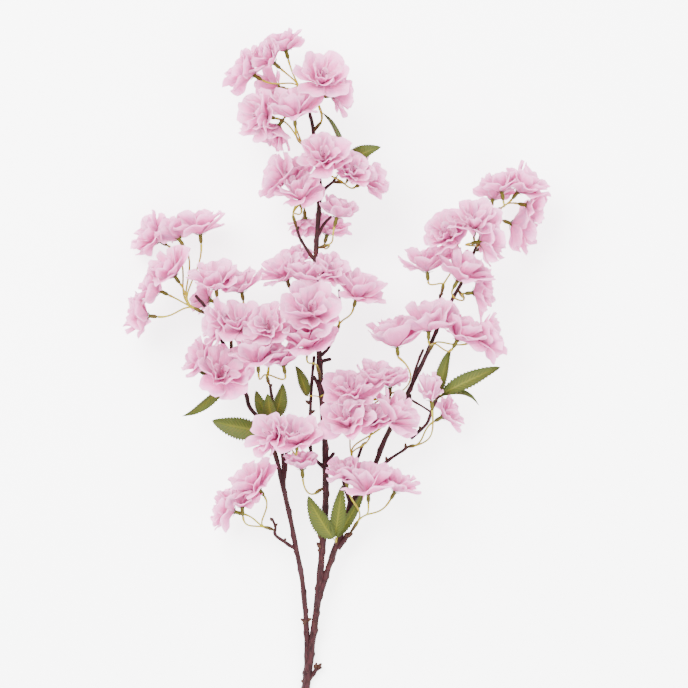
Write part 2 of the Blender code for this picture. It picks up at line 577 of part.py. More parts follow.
def build():
    wood_tree = tree_of_object(fused("wood", wood_shapes(), "bark"))

    petals, seats = {}, []
    for head, (_, _, blooms) in HEADS.items():
        for body, place, turn, lean, radius in blooms:
            width = HALF_SHUT.get(body, 1.0)
            points, faces, seat, axis = bloom(len(seats), place, turn, lean, radius, width)
            petals.setdefault(body, []).append((points, faces))
            seats.append((head, seat, axis))
    petal_tree = tree_of([shape for shapes in petals.values() for shape in shapes])
    for body, shapes in petals.items():
        fused(f"petals_{body}", shapes, "petals", smooth=False)

    for head, (root, tip, _) in HEADS.items():
        way, foot = seated_on(wood_tree, root, tip, SEAT_GAP + SPUR_FOOT_RADIUS)
        tip = np.array(tip, float)
        spur = [(*foot, SPUR_FOOT_RADIUS), (*(foot + (tip - foot) * 0.45), SPUR_RADIUS),
                (*tip, SPUR_TIP_RADIUS)]
        shapes = [tube(clear_rows(wood_tree, spur), STALK_SIDES)]
        for owner, seat, axis in seats:
            if owner != head:
                continue
            rows = pedicel_rows(tip - way * 1.5, way, seat, axis, (petal_tree, wood_tree))
            shapes.append(tube(rows, PEDICEL_SIDES))
        fused(f"stalks_{head}", shapes, "stalks")

    for group, (root, blades) in LEAVES.items():
        middle = np.mean([base for base, *_ in blades], axis=0)
        way, foot = seated_on(wood_tree, root, middle, SEAT_GAP + SPUR_FOOT_RADIUS)
        cushion = [(*foot, SPUR_FOOT_RADIUS), (*(foot + way * 2.0), 1.5), (*(foot + way * 4.0), 1.2)]
        shapes = [tube(clear_rows(wood_tree, cushion), STALK_SIDES)]
        for base, tip, width, face, arch in blades:
            start, end = foot + way * 2.0, np.array(base, float)
            inside = end + unit(np.array(tip, float) - end) * 3.0
            petiole = [(*start, PETIOLE_RADIUS), (*end, PETIOLE_RADIUS), (*inside, 0.5 * PETIOLE_RADIUS)]
            shapes.append(tube(petiole, STALK_SIDES))
            shapes.append(leaf(base, tip, width, face, arch))
        fused(f"leaves_{group}", shapes, "leaves", smooth=False)


build()
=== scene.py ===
# A cut branch of double almond blossom, lying on a pale table and seen from straight above.
# Lengths are millimetres in the branch's own plan, x across and y towards the flowering tips, and toScene
# makes them metres. The studio is in metres.

import math

import bpy
import numpy as np
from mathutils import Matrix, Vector
from mathutils.bvhtree import BVHTree


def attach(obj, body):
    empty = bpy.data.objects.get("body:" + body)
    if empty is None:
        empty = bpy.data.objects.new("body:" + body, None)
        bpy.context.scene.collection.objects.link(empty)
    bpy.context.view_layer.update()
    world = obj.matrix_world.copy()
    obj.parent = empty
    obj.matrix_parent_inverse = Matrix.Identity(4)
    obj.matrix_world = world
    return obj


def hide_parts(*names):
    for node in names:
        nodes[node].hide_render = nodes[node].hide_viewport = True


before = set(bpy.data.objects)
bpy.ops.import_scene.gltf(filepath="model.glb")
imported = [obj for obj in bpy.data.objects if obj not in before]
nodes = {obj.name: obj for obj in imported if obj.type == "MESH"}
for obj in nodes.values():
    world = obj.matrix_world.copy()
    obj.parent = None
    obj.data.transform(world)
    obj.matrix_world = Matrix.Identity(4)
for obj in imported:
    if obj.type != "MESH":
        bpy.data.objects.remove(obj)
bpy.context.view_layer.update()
origin = np.array([6.0, 314.2, 0.0])  # the middle of the branch's box in plan, on the table
millimetre = 0.001
fullTurn = 2 * math.pi


def toScene(points):
    return (points - origin) * millimetre


def unit(vectors):
    # a vector, or each row of an array, over its own length
    vectors = np.asarray(vectors, float)
    return vectors / np.maximum(np.linalg.norm(vectors, axis=-1, keepdims=True), 1e-12)


def bearing(turn, lean):
    # the direction at a compass turn, leaning up from the table, both in degrees
    turn, lean = math.radians(turn), math.radians(lean)
    return np.array([math.cos(turn) * math.cos(lean), math.sin(turn) * math.cos(lean), math.sin(lean)])


def sideAxes(axis):
    # two unit directions square to an axis and to each other
    across = np.cross(axis, (0.0, 0.0, 1.0))
    if np.linalg.norm(across) < 0.05:
        across = np.cross(axis, (0.0, 1.0, 0.0))
    across = unit(across)
    return across, np.cross(axis, across)


def ringTurns(count):
    # angles spread evenly over a full turn
    return fullTurn * np.arange(count) / count


def column(values):
    return np.array(values, float)[:, None]


def withTone(tone, values):
    # pairs of one tone with each of the values
    return np.stack([np.full(len(values), tone), values], axis=1)


def smoothStep(low, high, x):
    # 3 w^2 - 2 w^3, with w the share of the way from low to high
    w = np.clip((x - low) / (high - low), 0, 1)
    return w * w * (3 - 2 * w)


def addObject(name, data):
    made = bpy.data.objects.new(name, data)
    bpy.context.scene.collection.objects.link(made)
    return made


# shapes as arrays of points and faces

class Shapes:
    # collects grids of points with their faces, two UV sets and a material number, and makes one mesh of them
    def __init__(self):
        self.points, self.faces, self.face, self.extra, self.skins, self.count = [], [], [], [], [], 0

    def add(self, points, faceSets, along, extra, skin=0):
        # along is (across, along) and extra two more numbers, one pair for each point
        points = points.reshape(-1, 3)
        for faces in faceSets:
            self.faces.append(faces + self.count)
            self.skins.append(np.full(len(faces), skin))
        self.points.append(points)
        self.face.append(np.broadcast_to(along, (len(points), 2)))
        self.extra.append(np.broadcast_to(extra, (len(points), 2)))
        self.count += len(points)

    def make(self, name, skins, slot, replaced, creaseAngle=50):
        points = toScene(np.vstack(self.points))
        corners = np.concatenate([faces.ravel() for faces in self.faces])
        sizes = np.concatenate([np.full(len(faces), faces.shape[1]) for faces in self.faces])
        mesh = bpy.data.meshes.new(name)
        mesh.vertices.add(len(points))
        mesh.vertices.foreach_set("co", points.astype(np.float32).ravel())
        mesh.loops.add(len(corners))
        mesh.loops.foreach_set("vertex_index", corners.astype(np.int32))
        mesh.polygons.add(len(sizes))
        mesh.polygons.foreach_set("loop_start", (np.cumsum(sizes) - sizes).astype(np.int32))
        mesh.polygons.foreach_set("material_index", np.concatenate(self.skins).astype(np.int32))
        mesh.update(calc_edges=True)
        for layerName, values in (("face", self.face), ("extra", self.extra)):
            layer = mesh.uv_layers.new(name=layerName)
            layer.data.foreach_set("uv", np.vstack(values)[corners].astype(np.float32).ravel())
        for skin in skins:
            mesh.materials.append(skin)
        mesh.shade_smooth()
        mesh.set_sharp_from_angle(angle=math.radians(creaseAngle))
        piece = addObject(name, mesh)
        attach(piece, "root")
        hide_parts(*replaced)


def gridFaces(rows, columns):
    # quads of a grid of (rows + 1) x (columns + 1) points, turned so that along x across points out
    i, j = np.meshgrid(np.arange(rows), np.arange(columns), indexing="ij")
    first = (i * (columns + 1) + j).ravel()
    return np.stack([first, first + columns + 1, first + columns + 2, first + 1], axis=1)


def sheetFaces(rows, columns):
    # a closed thin sheet: the front grid, the back grid after it and turned over, and quads round the rim
    front = gridFaces(rows, columns)
    size = (rows + 1) * (columns + 1)
    i, j, width = np.arange(rows), np.arange(columns), columns + 1
    edge = np.concatenate([i * width, rows * width + j, (rows - i) * width + columns, columns - j])
    ahead = np.roll(edge, -1)
    rim = np.stack([ahead, edge, edge + size, ahead + size], axis=1)
    return np.vstack([front, front[:, ::-1] + size, rim])


def sheetPoints(front, thickness):
    # the front grid and, a thickness behind it, the back: front - thickness * unit(d/drow x d/dcolumn)
    normals = unit(np.cross(np.gradient(front, axis=-3), np.gradient(front, axis=-2)))
    back = front - normals * thickness
    shape = front.shape[:-3] + (-1, 3)
    return np.concatenate([front.reshape(shape), back.reshape(shape)], axis=-2)


def keepAbove(points, gap):
    # lifts what lies lower than a gap over the table
    points[:, 2] = np.maximum(points[:, 2], gap)


def sweep(shapes, path, radii, sides, skin, tone, flatTo=None):
    # a closed tube: path + radius * (cos(turn) * across + sin(turn) * up). Across is square to the path and
    # to the direction that the path spreads in least. Radii are one a ring, or one for each point of a ring.
    # It returns its first end's middle and ring, and the way that the path leaves it
    path = np.asarray(path, float)
    rings = len(path)
    least = np.linalg.svd(path - path.mean(axis=0), full_matrices=True)[2][-1]
    ahead = unit(np.gradient(path, axis=0))
    across = unit(least - ahead * (ahead @ least)[:, None])
    up = np.cross(ahead, across)
    turns = ringTurns(sides)
    radii = np.broadcast_to(np.asarray(radii, float).reshape(rings, -1), (rings, sides))
    wheel = np.cos(turns)[None, :, None] * across[:, None] + np.sin(turns)[None, :, None] * up[:, None]
    points = np.vstack([(path[:, None] + radii[:, :, None] * wheel).reshape(-1, 3), path[:1], path[-1:]])
    if flatTo is not None:
        keepAbove(points, flatTo)
    i, j = np.meshgrid(np.arange(rings - 1), np.arange(sides), indexing="ij")
    a, b = (i * sides + j).ravel(), (i * sides + (j + 1) % sides).ravel()
    walls = np.stack([a, b, b + sides, a + sides], axis=1)
    tail = np.arange(sides)
    head = (rings - 1) * sides + tail
    first, last = np.full(sides, rings * sides), np.full(sides, rings * sides + 1)
    caps = [np.stack([first, np.roll(tail, -1), tail], axis=1),
            np.stack([last, head, np.roll(head, -1)], axis=1)]
    length = alongPath(path)
    share = length / max(length[-1], 1e-9)
    along = np.stack([np.tile(tail / sides, rings), np.repeat(share, sides)], axis=1)
    along = np.vstack([along, [[0.5, 0.0], [0.5, 1.0]]])
    decimetres = np.append(np.repeat(length, sides), [0.0, length[-1]]) / 100
    shapes.add(points, [walls, *caps], along, withTone(tone, decimetres), skin)
    return points[-2], points[:sides], ahead[0]


def alongPath(path):
    # the length of the path from its start to each of its points
    return np.concatenate([[0], np.cumsum(np.linalg.norm(np.diff(path, axis=0), axis=1))])


# shader maths

def operation(name, turned=False):
    # a method that adds the Math node of this name, with its two sockets changed round if turned
    def method(self, other):
        ends = (other, self) if turned else (self, other)
        return self.skin.node("Math", {"operation": name}, {0: ends[0], 1: ends[1]})
    return method


class Signal:
    # a socket that can be added, multiplied and so on
    __add__, __radd__ = operation("ADD"), operation("ADD", True)
    __sub__, __rsub__ = operation("SUBTRACT"), operation("SUBTRACT", True)
    __mul__, __rmul__ = operation("MULTIPLY"), operation("MULTIPLY", True)
    __pow__, least, most = operation("POWER"), operation("MINIMUM"), operation("MAXIMUM")

    def __init__(self, skin, socket):
        self.skin, self.socket = skin, socket

    def between(self, low, high):
        # 0 at low, 1 at high, smooth in between
        return self.skin.node("MapRange", {"interpolation_type": "SMOOTHSTEP"},
                              {"Value": self, "From Min": low, "From Max": high})


class Skin:
    # a material and the nodes added to it
    def __init__(self, name):
        self.material = bpy.data.materials.new(name)
        self.material.use_nodes = True
        self.tree = self.material.node_tree
        self.tree.nodes.clear()

    def node(self, kind, settings=None, values=None, output=0):
        made = self.tree.nodes.new("ShaderNode" + kind)
        for key, value in (settings or {}).items():
            setattr(made, key, value)
        for key, value in (values or {}).items():
            if isinstance(value, Signal):
                self.tree.links.new(value.socket, made.inputs[key])
            else:
                made.inputs[key].default_value = value
        return Signal(self, made.outputs[output])

    def sheet(self, layer):
        # the two numbers of a UV set
        split = self.node("SeparateXYZ", {}, {0: self.node("UVMap", {"uv_map": layer})})
        return split, Signal(self, split.socket.node.outputs[1])

    def place(self, x, y, z):
        return self.node("CombineXYZ", {}, {0: x, 1: y, 2: z})

    def spots(self):
        return self.node("TexCoord", {}, {}, "Object")

    def noise(self, where, scale, detail=3.0, rough=0.55):
        values = {"Vector": where, "Scale": scale, "Detail": detail, "Roughness": rough}
        return self.node("TexNoise", {}, values)

    def blend(self, first, second, factor):
        first = (*first, 1.0) if isinstance(first, tuple) else first
        second = (*second, 1.0) if isinstance(second, tuple) else second
        return self.node("Mix", {"data_type": "RGBA"}, {0: factor, 6: first, 7: second}, 2)

    def layers(self, look, base, *layers):
        # one colour of a look with others laid over it, each with its factor
        colour = look[base]
        for name, factor in layers:
            colour = self.blend(colour, look[name], factor)
        return colour

    def bump(self, height, depth, strength=1.0):
        return self.node("Bump", {}, {"Height": height, "Distance": depth, "Strength": strength})

    def surface(self, values):
        return self.node("BsdfPrincipled", {}, values)

    def sheer(self, shader, look, relief):
        # the look's glow is the share of the light that goes through a petal or blade
        light = self.node("BsdfTranslucent", {}, {"Color": (*look["through"], 1.0), "Normal": relief})
        return self.finish(self.node("MixShader", {}, {0: look["glow"], 1: shader, 2: light}))

    def finish(self, shader):
        end = self.tree.nodes.new("ShaderNodeOutputMaterial")
        self.tree.links.new(shader.socket, end.inputs["Surface"])
        return self.material


petalLook = {
    "pale": (0.92, 0.375, 0.65), "body": (0.85, 0.225, 0.50), "heart": (0.66, 0.085, 0.26),
    "paintedBackShade": (0.57, 0.255, 0.46), "edge": (0.94, 0.73, 0.88), "streak": (0.56, 0.20, 0.41),
    "shade": (0.40, 0.26, 0.42), "through": (0.90, 0.43, 0.70), "roughness": 0.8, "glow": 0.54,
    "heartShare": 0.8, "shadeShare": 0.52, "streakShare": 0.42, "rimWidth": 0.30, "wrinkles": 260.0,
    "bumpDepth": 0.0012}


def petalSkin():
    # body to pale along the petal, heart colour at its foot, fine streaks along it that are partly vein lines
    # and partly painted crease shade, broader bands of painted shade where pleats would fold, a rim that is
    # almost white as partly paler silk and partly painted light through the sheer edge, and painted shade on
    # the back of each petal. Each is a blend by a smooth step of noise or place
    skin, look = Skin("petalSilk"), petalLook
    across, along = skin.sheet("face")
    tone, side = skin.sheet("extra")
    streaks = skin.noise(skin.place(across * 5.0, along * 0.7, tone * 37.0), 2.2, 4.0, 0.7)
    pleats = skin.noise(skin.place(across * 2.6 + along * 0.5, along * 0.9, tone * 71.0), 2.0, 2.0)
    blots = skin.noise(skin.place(across * 1.6, along * 1.4, tone * 53.0), 1.8, 2.0)
    heart = (1.0 - along) ** 1.9 * (0.75 + 0.5 * tone) + (streaks - 0.5) * 0.45 * (1.0 - along)
    fromRim = (1.0 - along).least(0.5 - ((across - 0.5) ** 2.0) ** 0.5)
    colour = skin.layers(
        look, "body",
        ("pale", (along + (blots - 0.5) * 0.9).between(0.15, 0.85)),
        # painted shade on the back of each petal, less towards its tip
        ("paintedBackShade", side * (1.0 - 0.5 * along) * 0.6),
        ("heart", heart.between(0.08, 0.95) * look["heartShare"]),
        ("body", (tone - 0.5).most(0.0) * 0.6),
        # painted shade: greyer bands laid where pleats would fold the silk
        ("shade", (pleats - 0.49).between(0.0, 0.15) * look["shadeShare"]),
        # the streak colour: partly the silk's vein lines, partly painted shade of fine creases
        ("streak", (streaks - 0.50).between(0.0, 0.18) * look["streakShare"]),
        # an almost white rim: partly paler silk, partly painted light of the bright floor showing through the
        # sheer edge
        ("edge", (1.0 - fromRim.between(0.0, look["rimWidth"])) * (0.25 + 1.0 * blots).least(0.9)))
    wrinkles = skin.noise(skin.spots(), look["wrinkles"], 3.0)
    relief = skin.bump(streaks * 1.4 + wrinkles, look["bumpDepth"], 0.85)
    cloth = skin.surface({"Base Color": colour, "Roughness": look["roughness"], "Normal": relief,
                          "Sheen Weight": 0.1, "Sheen Roughness": 0.5, "Specular IOR Level": 0.08})
    return skin.sheer(cloth, look, relief)


def plainSkin(name, low, high, roughness, grain, depth, darkEnd=None):
    # two colours mingled by noise that is drawn out along the piece, with a shade at its far end
    skin = Skin(name)
    around, along = skin.sheet("face")
    tone, length = skin.sheet("extra")
    mottle = skin.noise(skin.place(around * 2.0, length * 4.0, tone * 29.0), grain, 3.0)
    colour = skin.blend(low, high, mottle.between(0.32, 0.68))
    if darkEnd is not None:
        colour = skin.blend(colour, darkEnd, along.between(0.45, 1.0) * 0.8)
    relief = skin.bump(skin.noise(skin.spots(), 700.0, 3.0), depth, 0.6)
    return skin.finish(skin.surface({"Base Color": colour, "Roughness": roughness, "Normal": relief,
                                     "Specular IOR Level": 0.12}))


barkLook = {
    "dark": (0.0105, 0.0022, 0.0031), "brown": (0.034, 0.0085, 0.0105), "grey": (0.042, 0.018, 0.022),
    "rust": (0.042, 0.013, 0.006), "dash": (0.075, 0.040, 0.030), "dashShare": 0.45, "roughness": 0.45,
    "bumpDepth": 0.0008}


def barkSkin():
    # dark purple brown, greyer on the weathered streaks that run along it, with rusty patches and pale dashes
    # across. The streaks and patches are smooth steps of noise and a dash is the middle of a Voronoi cell
    skin, look = Skin("bark"), barkLook
    around = skin.sheet("face")[0]
    tone, length = skin.sheet("extra")
    spot = skin.spots()
    streaks = skin.noise(skin.place(around * 7.0, length * 7.0, tone * 31.0), 2.0, 4.0, 0.6)
    patches = skin.noise(spot, 45.0, 3.0)
    cells = skin.node("TexVoronoi", {"feature": "F1"},
                      {"Vector": skin.place(around * 4.0, length * 42.0, tone * 11.0), "Scale": 1.0})
    dash = 1.0 - cells.between(0.10, 0.22)
    colour = skin.layers(
        look, "dark",
        ("brown", streaks.between(0.35, 0.68)),
        ("grey", patches.between(0.50, 0.78) * 0.6),
        ("rust", skin.noise(spot, 28.0, 2.0).between(0.55, 0.75) * 0.6),
        ("dash", dash * look["dashShare"]))
    height = streaks * 0.8 + skin.noise(spot, 420.0, 4.0) * 0.5 + dash * 0.5
    relief = skin.bump(height, look["bumpDepth"], 0.8)
    return skin.finish(skin.surface({"Base Color": colour, "Roughness": look["roughness"] + 0.3 * patches,
                                     "Normal": relief, "Specular IOR Level": 0.10}))


cutLook = {"pale": (0.36, 0.24, 0.12), "ring": (0.22, 0.13, 0.06), "rim": (0.12, 0.05, 0.03),
           "pith": (0.18, 0.08, 0.04), "ringCount": 26.0}


def cutSkin():
    # the cut end: pale wood in faint rings, the sine of the radius, darker at its rim and pith
    skin, look = Skin("cutWood"), cutLook
    x, y = skin.sheet("face")
    radius = (x * x + y * y) ** 0.5
    rings = skin.node("Math", {"operation": "SINE"}, {0: radius * look["ringCount"]})
    colour = skin.layers(
        look, "pale",
        ("ring", rings.between(-0.2, 1.0) * 0.6),
        ("rim", radius.between(0.80, 0.97)),
        ("pith", 1.0 - radius.between(0.05, 0.16)))
    return skin.finish(skin.surface({"Base Color": colour, "Roughness": 0.8}))


leafLook = {
    "blade": (0.017, 0.028, 0.0012), "bladeLight": (0.040, 0.054, 0.0016), "rib": (0.30, 0.27, 0.003),
    "nearRib": (0.135, 0.125, 0.002), "edge": (0.007, 0.014, 0.0012), "old": (0.024, 0.030, 0.002),
    "under": (0.045, 0.056, 0.012), "through": (0.10, 0.16, 0.005), "glow": 0.08, "veins": 15.0,
    "veinSlope": 1.3, "bumpDepth": 0.0006}


def leafSkin():
    # green, yellower towards the rib and on the veins, dark at the toothed edge, greyer underneath. The veins
    # are a wave of the length that leans forward as it goes out
    skin, look = Skin("leafBlade"), leafLook
    across, along = skin.sheet("face")
    tone, side = skin.sheet("extra")
    out = ((across - 0.5) ** 2.0) ** 0.5 * 2.0
    phase = along * look["veins"] - out * look["veinSlope"] * 2.0
    wave = skin.node("Math", {"operation": "PINGPONG"}, {0: phase + 40.0, 1: 0.5})
    lines = (1.0 - wave.between(0.04, 0.26)).most(1.0 - out.between(0.03, 0.15))
    mottle = skin.noise(skin.spots(), 130.0, 4.0)
    near = (1.0 - out.between(0.05, 0.80)) * along.between(0.0, 0.15) * (1.0 - along.between(0.60, 0.95))
    colour = skin.layers(
        look, "blade",
        ("bladeLight", mottle.between(0.35, 0.7)),
        ("nearRib", near * (0.25 + 1.0 * mottle).least(1.0) * 0.75),
        ("rib", lines * (1.0 - out ** 1.4) * (0.25 + 0.55 * near + 0.35 * mottle)),
        ("edge", out.between(0.72, 0.99) * 0.8),
        ("old", (tone - 0.5).most(0.0) * 0.9),
        ("under", side * 0.8))
    height = mottle * 0.4 + lines * 0.8 + skin.noise(skin.spots(), 800.0, 2.0) * 0.25
    relief = skin.bump(height, look["bumpDepth"], 0.7)
    blade = skin.surface({"Base Color": colour, "Roughness": 0.48 + 0.2 * mottle, "Normal": relief,
                          "Specular IOR Level": 0.12})
    return skin.sheer(blade, look, relief)


# name, two colours, roughness, grain, depth of the bump in metres and perhaps a colour for the far end
plainLooks = {
    "bud": ("budScales", (0.017, 0.0045, 0.0045), (0.046, 0.019, 0.009), 0.55, 3.0, 0.0006),
    "spur": ("spurBark", (0.020, 0.008, 0.004), (0.052, 0.032, 0.006), 0.6, 3.5, 0.0008,
             (0.080, 0.068, 0.008)),
    "pedicel": ("stalkGreen", (0.250, 0.240, 0.009), (0.200, 0.130, 0.009), 0.5, 2.0, 0.0002),
    "calyx": ("calyxOlive", (0.066, 0.062, 0.005), (0.044, 0.034, 0.005), 0.55, 3.0, 0.0004),
    "thread": ("stamenThread", (0.70, 0.20, 0.34), (0.50, 0.10, 0.21), 0.6, 2.0, 0.0001),
    "anther": ("anther", (0.030, 0.007, 0.008), (0.07, 0.022, 0.012), 0.7, 3.0, 0.0002)}
skins = {"bark": barkSkin(), "cut": cutSkin(), "petal": petalSkin(), "leaf": leafSkin()}
skins.update({name: plainSkin(*look) for name, look in plainLooks.items()})
print("materials ready")


# routes, as the solids have them

stems = {
    "foot": [(-26, -45, 2.94, 3.4), (-25.5, -15, 2.94, 3.4), (-24, 12, 4.2, 3.2), (-22, 32, 6.5, 3.6)],
    "left": [(-23.5, 14, 4.6, 2.3), (-23.5, 50, 9, 2.3), (-24.5, 80, 13, 2.2), (-28.5, 120, 18, 2.1),
             (-34, 150, 23, 2.1), (-40, 180, 27, 2.0), (-47, 212, 32, 2.0), (-53.5, 240, 36, 1.9),
             (-65, 273, 40, 1.8), (-80, 292, 42, 1.7), (-84, 305, 43, 1.6), (-92, 330, 45, 1.5),
             (-108, 359, 47, 1.4), (-119, 385, 48, 1.3), (-134, 404, 48, 1.2)],
    "centre": [(-22.5, 16, 4.6, 3.0), (-19, 50, 10, 2.9), (-14.5, 80, 14, 2.8), (-10.5, 120, 20, 2.8),
               (-7, 160, 26, 2.7), (-4.5, 197, 31, 2.6), (-4.5, 232, 35, 2.6), (-5.5, 263, 39, 2.5),
               (-8, 300, 43, 2.4), (-11, 348, 47, 2.3), (-12, 380, 49, 2.2), (-13, 410, 51, 2.1),
               (-14, 448, 53, 2.0), (-11, 490, 54, 1.9), (-10, 514, 55, 1.8), (-14, 540, 55, 1.7),
               (-17, 572, 56, 1.5), (-23, 597, 57, 1.2)],
    "right": [(-13.5, 92, 16, 2.4), (-5, 120, 19, 2.5), (1.5, 140, 22, 2.5), (13, 173, 27, 2.4),
              (21, 195, 30, 2.3), (31, 210, 32, 2.2), (45, 235, 35, 2.1), (55, 260, 38, 2.1),
              (70, 290, 41, 2.0), (82, 315, 43, 1.8), (94, 340, 45, 1.8), (107, 370, 47, 1.6),
              (123, 402, 49, 1.5), (133, 420, 49, 1.4), (140, 438, 49, 1.3), (150, 460, 48, 1.2),
              (167, 488, 48, 1.0)],
}
twigs = [
    [(-46, 208, 31.5, 1.5), (-48, 247, 38, 1.4), (-55, 275, 43, 1.3), (-58, 300, 47, 1.2),
     (-60, 315, 49, 1.1)],
    [(-47, 214, 32, 1.3), (-44.5, 230, 36, 1.3), (-44, 249, 40, 1.1)],
    [(-34, 149, 23, 1.5), (-46, 157, 25, 1.3), (-55, 164, 26, 1.2), (-55, 172, 27, 1.1), (-58, 180, 28, 1.0)],
    [(-5, 230, 35, 1.5), (-19, 248, 38, 1.3), (-20, 282, 42, 1.2), (-18, 320, 44, 1.2), (-16, 343, 46, 1.1)],
    [(-9, 304, 43.5, 1.7), (-12, 316, 46, 1.6), (-16, 323, 47, 1.2)],
    [(-5, 235, 35.5, 1.6), (3.5, 246, 38, 1.4)],
    [(-11, 338, 46, 1.5), (0, 341, 48, 1.2)],
    [(-11, 344, 47, 1.5), (-3, 350, 50, 1.2), (2, 359, 52, 1.1), (6, 366, 53, 1.0)],
    [(-12, 374, 49, 1.3), (0, 388, 46, 1.0), (9, 397, 46, 0.9), (9, 410, 47, 0.9)],
    [(-14, 438, 52, 1.4), (-24, 452, 50, 1.2), (-30, 462, 49, 1.1), (-33, 471, 48, 1.0)],
    [(-13, 464, 54, 1.4), (-5, 477, 56, 1.2), (1, 483, 57, 1.0)],
    [(-11, 505, 55, 1.4), (-4, 512, 56, 1.2), (3, 518, 57, 1.0)],
    [(8, 150, 24, 2.0), (14, 159, 26, 1.9), (19, 165, 27.5, 1.7)],
    [(21, 193, 30, 1.4), (17, 205, 33, 1.3), (13, 218, 35, 1.1)],
    [(31, 210, 32, 1.3), (25, 228, 36, 1.2), (32, 253, 38, 1.1), (36, 257, 38, 1.0)],
    [(38, 221, 33, 1.4), (52, 233, 34, 1.3), (58, 239, 35, 1.2), (70, 247, 36, 1.1), (77, 252, 36, 1.0)],
    [(76, 303, 42, 0.9), (90, 295, 43, 0.8), (101, 288, 44, 0.9)],
    [(81, 261, 42, 1.2), (91, 270, 43, 1.2), (98, 278, 44, 1.2), (102, 290, 44.5, 1.2), (107, 302, 45, 1.1)],
    [(80, 306, 42.5, 1.4), (80, 296, 43, 1.1), (79, 288, 43, 1.0)],
    [(71, 291, 41, 1.1), (58, 296, 46, 0.9), (49, 301, 49, 0.9), (49, 311, 51, 0.8)],
    [(82, 316, 43.5, 1.3), (86, 332, 48, 1.1), (93, 350, 51, 1.0)],
    [(118, 391, 48, 1.3), (111, 398, 51, 1.1), (110, 405, 53, 1.0)],
    [(-24, 14, 4.4, 1.8), (-15, 26, 6, 1.5), (-14, 33, 7, 0.9)],
    [(-17, 24, 5.6, 1.3), (-9, 29, 6.5, 0.8)],
]
# root, the way it points, length, radius. The last rows crowd round the stubs
buds = [
    ((-23.5, 75, 12), (-1.0, 0.6, 0.2), 7.5, 1.4), ((-23.5, 77, 12.5), (1.0, 0.4, 0.3), 5.5, 1.3),
    ((-25, 14, 4), (-1.0, 0.3, 0.0), 5.0, 1.3), ((-7.5, 158, 26), (-0.7, 1.0, 0.3), 9.0, 1.5),
    ((-7, 160, 26), (0.2, 1.0, 0.5), 8.5, 1.5), ((-11, 147, 24), (0.9, 0.5, 0.5), 5.0, 1.4),
    ((-46, 157, 25), (0.3, 1.0, 0.4), 4.5, 1.1), ((-19.5, 296, 43), (-0.8, 0.5, 0.2), 6.5, 1.3),
    ((-19.5, 287, 42), (0.8, 0.5, 0.4), 6.0, 1.2), ((-33, 470, 48), (0.5, 1.0, 0.2), 4.5, 1.1),
    ((91, 270, 43), (-0.4, 1.0, 0.4), 4.5, 1.1), ((102, 291, 44.5), (0.4, 0.9, 0.5), 5.0, 1.1),
    ((57, 239, 35), (-0.2, 1.0, 0.2), 4.5, 1.1), ((76, 251, 36), (-0.1, 1.0, 0.2), 6.0, 1.1),
    ((46, 301, 49), (-1.0, 0.0, 0.1), 3.5, 1.3), ((-60, 313, 49), (0.7, 1.0, 0.1), 4.0, 1.0),
    ((-110, 361, 47), (-0.5, 1.0, 0.4), 9.0, 1.1), ((110, 404, 53), (0.9, 0.8, 0.2), 4.5, 0.9),
    ((-24, 72, 12), (-0.7, 1.0, 0.5), 6.0, 1.7), ((-24.5, 74, 12.5), (-0.1, 1.0, 0.9), 5.0, 1.6),
    ((-13, 29, 6.5), (0.9, 0.8, 0.3), 6.5, 1.4), ((-15, 28, 6.5), (0.1, 1.0, 0.5), 6.0, 1.4),
    ((-56, 172, 27), (0.8, 1.0, 0.2), 5.0, 1.1), ((-58, 178, 28), (-0.6, 1.0, 0.3), 4.5, 1.1),
    ((17, 162, 27), (1.0, 0.7, 0.4), 7.5, 1.5), ((15, 161, 26.5), (0.4, 1.0, 0.6), 6.5, 1.4),
    ((-8, 150, 25), (-0.9, 1.0, 0.4), 9.0, 1.7), ((-8, 147, 25), (-1.0, 0.5, 0.3), 5.5, 1.6),
]
